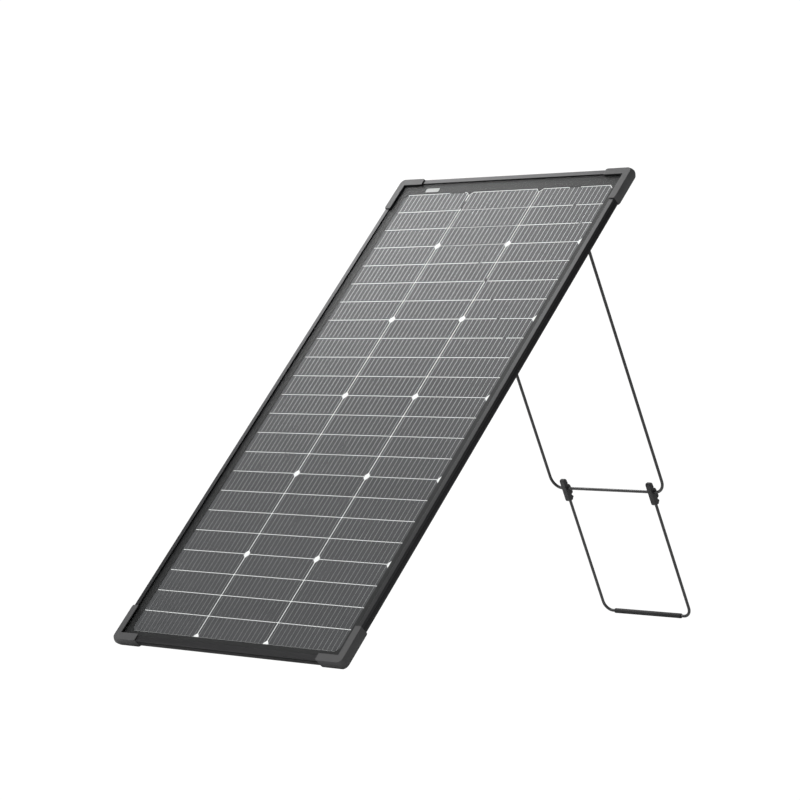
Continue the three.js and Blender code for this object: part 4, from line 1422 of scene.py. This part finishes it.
@dataclass
class Laminate(SubAssembly):
    """The glass, print, cells, bars and ribbons."""

    corner_radius: float = 3 * MM
    ground_edge: float = 0.2 * MM
    strip_count: int = 23
    strip_height: float = 45.5 * MM
    strip_gap: float = 1.42 * MM
    chamfer: float = 7.5 * MM
    bars_per_column: int = 16
    bar_width: float = 0.7 * MM
    bar_thickness: float = 0.1 * MM
    bar_lift: float = 0.01 * MM
    notch_gap: float = 0.8 * MM
    mark_width: float = 36 * MM
    mark_height: float = 10 * MM
    mark_thickness: float = 0.1 * MM
    mark_from_left: float = 92.5 * MM
    mark_rise: float = 0.6 * MM
    print_radius: float = 2.5 * MM
    print_edge: float = 0.02 * MM
    patch_margin: float = 32 * MM
    patch_thickness: float = 0.1 * MM
    patch_gap: float = 0.12 * MM

    def build(self) -> None:
        """Makes the laminate from its front to its back."""
        self.glass("front_glass", "front_encapsulant", outer_is_front=True)
        self.dress(Slot.PRINT, "border_mask")
        self.border_notches()
        self.border_mark()
        for column in ("left", "centre", "right"):
            self.column(column)
        self.box_patch()
        self.dress(Slot.COPPER, "bus_ribbon_bottom", "bus_ribbon_top_left", "bus_ribbon_top_right")
        self.glass("rear_glass", "rear_encapsulant", outer_is_front=False)
        self.dress(Slot.SEAL, "edge_seal")

    def glass(self, node: str, film: str, outer_is_front: bool) -> None:
        """Makes a sheet of glass, bonded to its film.

        Args:
            node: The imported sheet.
            film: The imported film, which can't be seen apart from the sheet.
            outer_is_front: Whether its outer face is its front.
        """
        self.dress(Slot.GLASS, node)
        self.dress(Slot.FILM, film)
        extent = self.shop.panel.extent(self.shop.node(node))
        mesh = rounded_slab(extent, self.corner_radius, self.ground_edge)
        mesh.materials.append(self.shop.wardrobe.glass_bonded)
        mesh.materials.append(self.shop.wardrobe.glass_outer)
        mesh.polygons[-1 if outer_is_front else -2].material_index = 1
        mesh.transform(self.shop.panel.matrix)
        self.piece(f"{node}_shape", mesh, Slot.GLASS, node, film, own=True)

    def border_notches(self) -> None:
        """Prints the small dark points that fill the cells' cut corners under the top border."""
        mask = self.shop.panel.extent(self.shop.node("border_mask"))
        left, centre, right = (
            self.shop.panel.extent(self.shop.node(f"cell_string_{column}"))
            for column in ("left", "centre", "right")
        )
        parts = []
        for near, far in ((left, centre), (centre, right)):
            middle = (near.high.x + far.low.x) / 2
            narrower = self.notch_gap * math.tan(math.pi / 8)
            reach = (far.low.x - near.high.x) / 2 + self.chamfer - narrower
            top = near.high.y + self.notch_gap
            rim = [(middle - reach, top), (middle, top - reach), (middle + reach, top)]
            parts.append(prism(rim, mask.low.z, mask.high.z))
        mesh = joined(parts)
        mesh.transform(self.shop.panel.matrix)
        self.piece("border_notches", mesh, Slot.PRINT)

    def border_mark(self) -> None:
        """Prints a plain pale bar on the top border, near its left end."""
        mask = self.shop.panel.extent(self.shop.node("border_mask"))
        cells = self.shop.panel.extent(self.shop.node("cell_string_left"))
        rail = self.shop.panel.extent(self.shop.node("frame_rail_top"))
        x = mask.low.x + self.mark_from_left
        s = (cells.high.y + rail.low.y) / 2 + self.mark_rise
        n = mask.high.z + self.print_edge
        half = Vector((self.mark_width / 2, self.mark_height / 2, 0))
        extent = Extent(Vector((x, s, n)) - half, Vector((x, s, n + self.mark_thickness)) + half)
        mesh = rounded_slab(extent, self.print_radius, self.print_edge, 6)
        mesh.materials.append(self.shop.wardrobe.pale_print)
        mesh.transform(self.shop.panel.matrix)
        self.piece("border_mark", mesh, Slot.PRINT, own=True)

    def box_patch(self) -> None:
        """Lays a thin patch behind the cells, white in front and dark behind, over the box."""
        cells = self.shop.panel.extent(self.shop.node("cell_string_centre"))
        box = self.shop.panel.extent(self.shop.node("junction_box_base"))
        top = cells.low.z - self.patch_gap
        low = box.low - Vector((self.patch_margin, self.patch_margin, 0))
        high = box.high + Vector((self.patch_margin, self.patch_margin, 0))
        low.z, high.z = top - self.patch_thickness, top
        high.y = min(high.y, cells.high.y - self.patch_thickness)
        mesh = rounded_slab(Extent(low, high), self.print_radius, self.print_edge, 6)
        mesh.materials.append(self.shop.wardrobe.white_patch)
        mesh.materials.append(self.shop.wardrobe.of(Slot.PRINT))
        mesh.polygons[-2].material_index = 1
        mesh.transform(self.shop.panel.matrix)
        self.piece("junction_box_patch", mesh, Slot.PRINT, own=True)

    def column(self, name: str) -> None:
        """Makes one column of cells, with the bars on both its faces.

        Args:
            name: Which column it is.
        """
        node = f"cell_string_{name}"
        self.dress(Slot.SILICON, node)
        extent = self.shop.panel.extent(self.shop.node(node))
        width = extent.high.x - extent.low.x
        rim = []
        for sx, sy in ((-1, -1), (1, -1), (1, 1), (-1, 1)):
            pair = [(sx, sy, 1.0), (sx, sy, 0.0)]
            rim += pair if sx == sy else pair[::-1]
        strip = prism([(sx / 2, sy / 2) for sx, sy, _ in rim], -0.5, 0.5)
        for index, label in enumerate(("corner_x", "corner_y", "on_side")):
            values = strip.attributes.new(label, "FLOAT", "POINT")
            for spot, value in enumerate(values.data):
                value.value = float(rim[spot % len(rim)][index])
        mesh = self.shop.strips.grow(
            strip,
            self.shop.wardrobe.silicon,
            count=self.strip_count,
            strip_width=width,
            strip_height=self.strip_height,
            strip_gap=self.strip_gap,
            thickness=extent.high.z - extent.low.z,
            chamfer=self.chamfer,
        )
        place = Vector((extent.middle.x, extent.low.y, extent.middle.z))
        mesh.transform(self.shop.panel.matrix @ Matrix.Translation(place))
        self.piece(f"{node}_shape", mesh, Slot.SILICON, node)
        self.bars(name, extent)

    def bars(self, name: str, extent: Extent) -> None:
        """Makes the thin bars that run up a column's front and back.

        Args:
            name: Which column it is.
            extent: How far the column reaches on the panel's axes.
        """
        width, length = extent.high.x - extent.low.x, extent.high.y - extent.low.y
        pitch = width / self.bars_per_column
        rise = self.bar_thickness / 2 + self.bar_lift
        first = extent.low.x + pitch / 2
        starts = [
            (first, extent.low.y, extent.high.z + rise),
            (first, extent.low.y, extent.low.z - rise),
        ]
        mesh = self.shop.bars.grow(
            mesh_of(starts),
            self.shop.wardrobe.of(Slot.COPPER),
            count=self.bars_per_column,
            pitch=pitch,
            bar_width=self.bar_width,
            bar_length=length,
            bar_thickness=self.bar_thickness,
        )
        mesh.transform(self.shop.panel.matrix)
        self.piece(f"cell_bars_{name}", mesh, Slot.COPPER)


@dataclass
class JunctionBox(SubAssembly):
    """The sealed box on the rear glass, with its lid, screws, glands and what is inside."""

    edge: float = 0.48 * MM
    lid_steps: int = 3
    screw_size: ScrewSize = ScrewSize()
    gland_bore: float = 3 * MM
    gland_stem: float = 4.2 * MM
    gland_body: float = 6.7 * MM
    gland_nut: float = 5.2 * MM
    gland_nut_length: float = 6 * MM
    gland_stem_length: float = 4 * MM
    gland_chamfer: float = 0.6 * MM
    gland_step: float = 0.5 * MM
    gland_dome: float = 1.6 * MM
    gland_shoulder: float = 0.2 * MM
    gland_mouth: float = 1.4 * MM
    gland_ribs: int = 20
    rib_radius: float = 0.45 * MM
    rib_sink: float = 0.05 * MM
    rib_start: float = 0.3 * MM
    rib_shorter: float = 2 * MM
    turned_steps: int = 48

    def build(self) -> None:
        """Makes the box from its tray to its screws."""
        self.dress(Slot.BOX, "junction_box_base", "junction_box_lid")
        self.soft("junction_box_base", Slot.BOX, self.edge)
        self.soft("junction_box_lid", Slot.BOX, self.edge, self.lid_steps)
        self.dress(Slot.SEAL, "junction_box_seal")
        for number in range(1, 5):
            self.screw(f"lid_screw_{number}", self.screw_size)
        for end in ("negative", "positive"):
            self.gland(f"cable_gland_{end}")
            self.dress(Slot.COPPER, f"terminal_{end}")
        self.dress(Slot.BOX, "bypass_diode_left", "bypass_diode_right")

    def gland(self, node: str) -> None:
        """Makes a cable gland with grip ribs round its nut.

        Args:
            node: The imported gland.
        """
        self.dress(Slot.BOX, node)
        extent = self.shop.panel.extent(self.shop.node(node))
        length = extent.high.y - extent.low.y
        nut_start = length - self.gland_nut_length
        bore, stem, wide, nut = self.gland_bore, self.gland_stem, self.gland_body, self.gland_nut
        cut, step = self.gland_chamfer, self.gland_step
        profile = [
            (bore, 0.0),
            (stem, 0.0),
            (stem, self.gland_stem_length),
            (wide - step, self.gland_stem_length),
            (wide, self.gland_stem_length + step),
            (wide, nut_start - cut),
            (wide - cut, nut_start),
            (nut, nut_start + self.gland_shoulder),
            (nut, length - self.gland_dome),
            (nut - cut, length - step),
            (nut - self.gland_mouth, length),
            (bore, length),
        ]
        body = lathe(profile, self.turned_steps)
        body.materials.append(self.shop.wardrobe.of(Slot.BOX))
        ribs = self.shop.ribs.grow(
            mesh_of([(0.0, 0.0, nut_start + self.rib_start)]),
            self.shop.wardrobe.of(Slot.BOX),
            count=self.gland_ribs,
            ring_radius=nut - self.rib_sink,
            rib_radius=self.rib_radius,
            rib_length=self.gland_nut_length - self.rib_shorter,
        )
        whole = joined([body, smoothed(ribs)])
        turn = Matrix.Rotation(math.pi / 2, 4, "X")
        place = Matrix.Translation((extent.middle.x, extent.high.y, extent.middle.z))
        whole.transform(self.shop.panel.matrix @ place @ turn)
        self.piece(f"{node}_shape", smoothed(whole), Slot.BOX, node)


@dataclass
class Hinges(SubAssembly):
    """The brackets behind the top rail that carry the stand's pins."""

    edge: float = 0.35 * MM
    bush_edge: float = 0.15 * MM
    screw_size: ScrewSize = ScrewSize()

    def build(self) -> None:
        """Makes both brackets with their bushes and screws."""
        for side in ("left", "right"):
            self.dress(Slot.BRACKET, f"hinge_bracket_{side}")
            self.soft(f"hinge_bracket_{side}", Slot.BRACKET, self.edge)
            self.dress(Slot.BUSH, f"pivot_bush_{side}")
            self.soft(f"pivot_bush_{side}", Slot.BUSH, self.bush_edge)
            for number in (1, 2):
                self.screw(f"bracket_screw_{side}_{number}", self.screw_size)


@dataclass
class WireLoop(SubAssembly):
    """A sub-assembly round a bent wire loop."""

    rod_radius: float = 3 * MM
    rod_sides: int = 28
    bend_steps: int = 14
    sharp_from: float = 50.0

    def bent(self, stops: Sequence[tuple[float, float]], bends: Sequence[float]) -> bpy.types.Mesh:
        """Bends a wire along stops on the stand's axes.

        Args:
            stops: Places as x and how far down the legs.
            bends: The bend's radius at each stop.

        Returns:
            The wire, still on the stand's axes.
        """
        places = [(x, down, 0.0) for x, down in stops]
        line = mesh_of(places, edges=[(step, step + 1) for step in range(len(places) - 1)])
        radii = line.attributes.new("bend", "FLOAT", "POINT")
        for spot, radius in enumerate(bends):
            radii.data[spot].value = radius
        wire = self.shop.wire.grow(
            line,
            self.shop.wardrobe.of(Slot.WIRE),
            rod_radius=self.rod_radius,
            sides=self.rod_sides,
            bend_steps=self.bend_steps,
        )
        return smoothed(wire, self.sharp_from)


@dataclass
class UpperStand(WireLoop):
    """The upper loop with its pins, stop lugs and retainers."""

    body: Body = Body.UPPER_STAND
    half_width: float = 147 * MM
    pin_bend: float = 9 * MM
    foot_bend: float = 25 * MM
    lug_reach: float = 5.6 * MM
    lug_width: float = 2 * MM
    lug_chamfer: float = 0.4 * MM
    retainer_edge: float = 0.5 * MM
    round_steps: int = 3

    def build(self) -> None:
        """Makes the loop, its lugs and its retainers."""
        self.dress(Slot.WIRE, "upper_leg_loop")
        extent = self.shop.stand.extent(self.shop.node("upper_leg_loop"))
        pin_end, down = extent.high.x, extent.high.y - self.rod_radius
        half = [(pin_end, 0.0), (self.half_width, 0.0), (self.half_width, down)]
        stops = [(-x, along) for x, along in half] + half[::-1]
        bends = [0.0, self.pin_bend, self.foot_bend, self.foot_bend, self.pin_bend, 0.0]
        parts = [self.bent(stops, bends)]
        for side in ("left", "right"):
            clip = self.shop.stand.extent(self.shop.node(f"swivel_clip_{side}"))
            parts.append(self.lug(clip.middle.x, down))
        whole = smoothed(joined(parts), self.sharp_from)
        whole.transform(self.shop.stand.matrix)
        self.piece("upper_leg_loop_shape", whole, Slot.WIRE, "upper_leg_loop")
        for side in ("left", "right"):
            self.dress(Slot.CLIP, f"pin_retainer_{side}")
            self.soft(f"pin_retainer_{side}", Slot.CLIP, self.retainer_edge, self.round_steps)

    def lug(self, x: float, down: float) -> bpy.types.Mesh:
        """Makes a stop lug that stands on the crossbar.

        Args:
            x: Its place along the crossbar.
            down: How far down the legs the crossbar is.

        Returns:
            A closed block with a chamfered end.
        """
        half, cut, end = self.lug_width / 2, self.lug_chamfer, down - self.lug_reach
        rim = [
            (x + half, down),
            (x - half, down),
            (x - half, end + cut),
            (x - half + cut, end),
            (x + half - cut, end),
            (x + half, end + cut),
        ]
        lug = prism(rim, -half, half)
        lug.materials.append(self.shop.wardrobe.of(Slot.WIRE))
        return lug


@dataclass
class LowerStand(WireLoop):
    """The lower loop with its swivel clips, hooks and foot sleeve."""

    body: Body = Body.LOWER_STAND
    half_width: float = 113.2 * MM
    bend: float = 20 * MM
    clip_edge: float = 0.5 * MM
    sleeve_bore: float = 3.3 * MM
    sleeve_radius: float = 5 * MM
    sleeve_edge: float = 0.8 * MM
    edge_steps: int = 4
    turned_steps: int = 48

    def build(self) -> None:
        """Makes the loop, its clips and its foot sleeve."""
        self.dress(Slot.WIRE, "lower_leg_loop")
        extent = self.shop.stand.extent(self.shop.node("lower_leg_loop"))
        top, down = extent.low.y, extent.high.y - self.rod_radius
        wide = self.half_width
        stops = [(-wide, top), (-wide, down), (wide, down), (wide, top)]
        mesh = self.bent(stops, [0.0, self.bend, self.bend, 0.0])
        mesh.transform(self.shop.stand.matrix)
        self.piece("lower_leg_loop_shape", mesh, Slot.WIRE, "lower_leg_loop")
        for side in ("left", "right"):
            for name in (f"swivel_clip_{side}", f"clip_hook_{side}"):
                self.dress(Slot.CLIP, name)
                self.soft(name, Slot.CLIP, self.clip_edge)
        self.sleeve()

    def sleeve(self) -> None:
        """Makes the rubber sleeve that the stand stands on."""
        self.dress(Slot.FOOT, "foot_sleeve")
        low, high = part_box("foot_sleeve")
        half, edge = (high.x - low.x) / 2, self.sleeve_edge
        profile = [(self.sleeve_bore, -half)]
        for end in (-1, 1):
            for step in range(self.edge_steps + 1)[::-end]:
                angle = math.pi / 2 * step / self.edge_steps
                radius = self.sleeve_radius - edge + edge * math.sin(angle)
                profile.append((radius, end * (half - edge + edge * math.cos(angle))))
        profile.append((self.sleeve_bore, half))
        mesh = lathe(profile, self.turned_steps)
        place = Matrix.Translation((low + high) / 2) @ Matrix.Rotation(math.pi / 2, 4, "Y")
        mesh.transform(place)
        self.piece("foot_sleeve_shape", mesh, Slot.FOOT, "foot_sleeve")


# ---- Studio ------------------------------------------------------------------------------------


@dataclass
class Studio:
    """The camera, the floor and the light."""

    azimuth: float = 45.153
    elevation: float = 1.015
    distance: float = 5.6247
    lens: float = 134.28
    sensor: float = 36.0
    clip: tuple[float, float] = (0.1, 60.0)
    aim_offset: tuple[float, float, float] = (-0.06791, -0.06808, 0.005173)
    ambient: float = 0.46
    ambient_in_gloss: float = 0.16
    key_power: float = 40.0
    key_place: tuple[float, float, float] = (-2.0, 0.4, 2.15)
    key_size: tuple[float, float] = (1.6, 2.0)
    fill_power: float = 23.0
    fill_place: tuple[float, float, float] = (-1.3, -2.4, 1.8)
    fill_size: tuple[float, float] = (1.3, 0.8)
    brightness: float = 1.05
    floor_reach: float = 30.0
    floor_drop: float = 1 * MM
    floor_tone: tuple[float, float, float] = (0.8, 0.8, 0.8)

    def camera(self, low: Vector, high: Vector) -> None:
        """Makes the camera.

        Args:
            low: The object's lowest corner.
            high: The object's highest corner.
        """
        turn, rise = math.radians(self.azimuth), math.radians(self.elevation)
        flat = math.cos(rise)
        back = Vector((math.sin(turn) * flat, -math.cos(turn) * flat, math.sin(rise)))
        data = bpy.data.cameras.new("studio_camera")
        data.lens, data.sensor_width = self.lens, self.sensor
        data.clip_start, data.clip_end = self.clip
        camera = linked("studio_camera", data)
        camera.location = (low + high) / 2 + Vector(self.aim_offset) + back * self.distance
        camera.rotation_mode = "QUATERNION"
        camera.rotation_quaternion = back.to_track_quat("Z", "Y")
        bpy.context.scene.camera = camera

    def light(
        self, name: str, place: Vector, aim: Vector, size: Sequence[float], power: float
    ) -> None:
        """Hangs a soft light.

        Args:
            name: Its name.
            place: Where it hangs.
            aim: What it points at.
            size: Its width and height.
            power: Its power in watts.
        """
        data = bpy.data.lights.new(name, "AREA")
        data.shape = "RECTANGLE"
        data.size, data.size_y, data.energy = *size, power
        lamp = linked(name, data)
        lamp.location = place
        lamp.rotation_mode = "QUATERNION"
        lamp.rotation_quaternion = (place - aim).to_track_quat("Z", "Y")

    def backdrop(self) -> None:
        """Lays the pale floor and fills the air with even light."""
        signs = ((-1, -1), (1, -1), (1, 1), (-1, 1))
        corners = [(x * self.floor_reach, y * self.floor_reach, -self.floor_drop) for x, y in signs]
        floor = linked("studio_floor", mesh_of(corners, [(0, 1, 2, 3)]))
        material = bpy.data.materials.new("pale_floor")
        material.use_nodes = True
        build = NodeBuilder(material.node_tree)
        build.tree.nodes.clear()
        matt = build.add("ShaderNodeBsdfDiffuse", {"Color": self.floor_tone + (1.0,)})
        glow = {"Color": (1.0, 1.0, 1.0, 1.0), "Strength": self.brightness}
        bright = build.add("ShaderNodeEmission", glow)
        path = build.add("ShaderNodeLightPath").outputs
        seen = build.math("MAXIMUM", path["Is Camera Ray"], path["Is Transmission Ray"])
        mixed = build.add("ShaderNodeMixShader", {0: seen, 1: matt, 2: bright})
        build.add("ShaderNodeOutputMaterial", {"Surface": mixed})
        floor.data.materials.append(material)
        floor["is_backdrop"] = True
        world = bpy.data.worlds.new("studio_air")
        world.use_nodes = True
        bpy.context.scene.world = world
        air = NodeBuilder(world.node_tree)
        air.tree.nodes.clear()
        path = air.add("ShaderNodeLightPath").outputs
        seen = air.math("MAXIMUM", path["Is Camera Ray"], path["Is Transmission Ray"])
        shiny = air.math("MULTIPLY", path["Is Glossy Ray"], air.math("SUBTRACT", 1.0, seen))
        even = air.math("MULTIPLY_ADD", shiny, self.ambient_in_gloss - self.ambient, self.ambient)
        strength = air.math("MAXIMUM", even, air.math("MULTIPLY", seen, self.brightness))
        glow = air.add("ShaderNodeBackground", {"Color": (1, 1, 1, 1), "Strength": strength})
        air.add("ShaderNodeOutputWorld", {"Surface": glow})

    def build(self, low: Vector, high: Vector) -> None:
        """Sets the studio up.

        Args:
            low: The object's lowest corner.
            high: The object's highest corner.
        """
        bpy.context.scene.view_settings.view_transform = "Standard"
        self.camera(low, high)
        self.backdrop()
        middle = (low + high) / 2
        self.light("key_light", Vector(self.key_place), middle, self.key_size, self.key_power)
        self.light("fill_light", Vector(self.fill_place), middle, self.fill_size, self.fill_power)


def main() -> None:
    """Builds the object and its studio, one sub-assembly after another."""
    logging.basicConfig(level=logging.INFO, format="%(name)s %(message)s")
    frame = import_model()
    low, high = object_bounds()
    panel = panel_axes(frame)
    Studio().build(low, high)
    shop = Workshop(frame, panel, stand_axes(frame), Wardrobe(panel))
    makers: list[Callable[[], None]] = [
        RailFrame(shop).build,
        CornerGuards(shop).build,
        Laminate(shop).build,
        JunctionBox(shop).build,
        Hinges(shop).build,
        UpperStand(shop).build,
        LowerStand(shop).build,
    ]
    for make in makers:
        make()


if __name__ == "__main__":
    main()
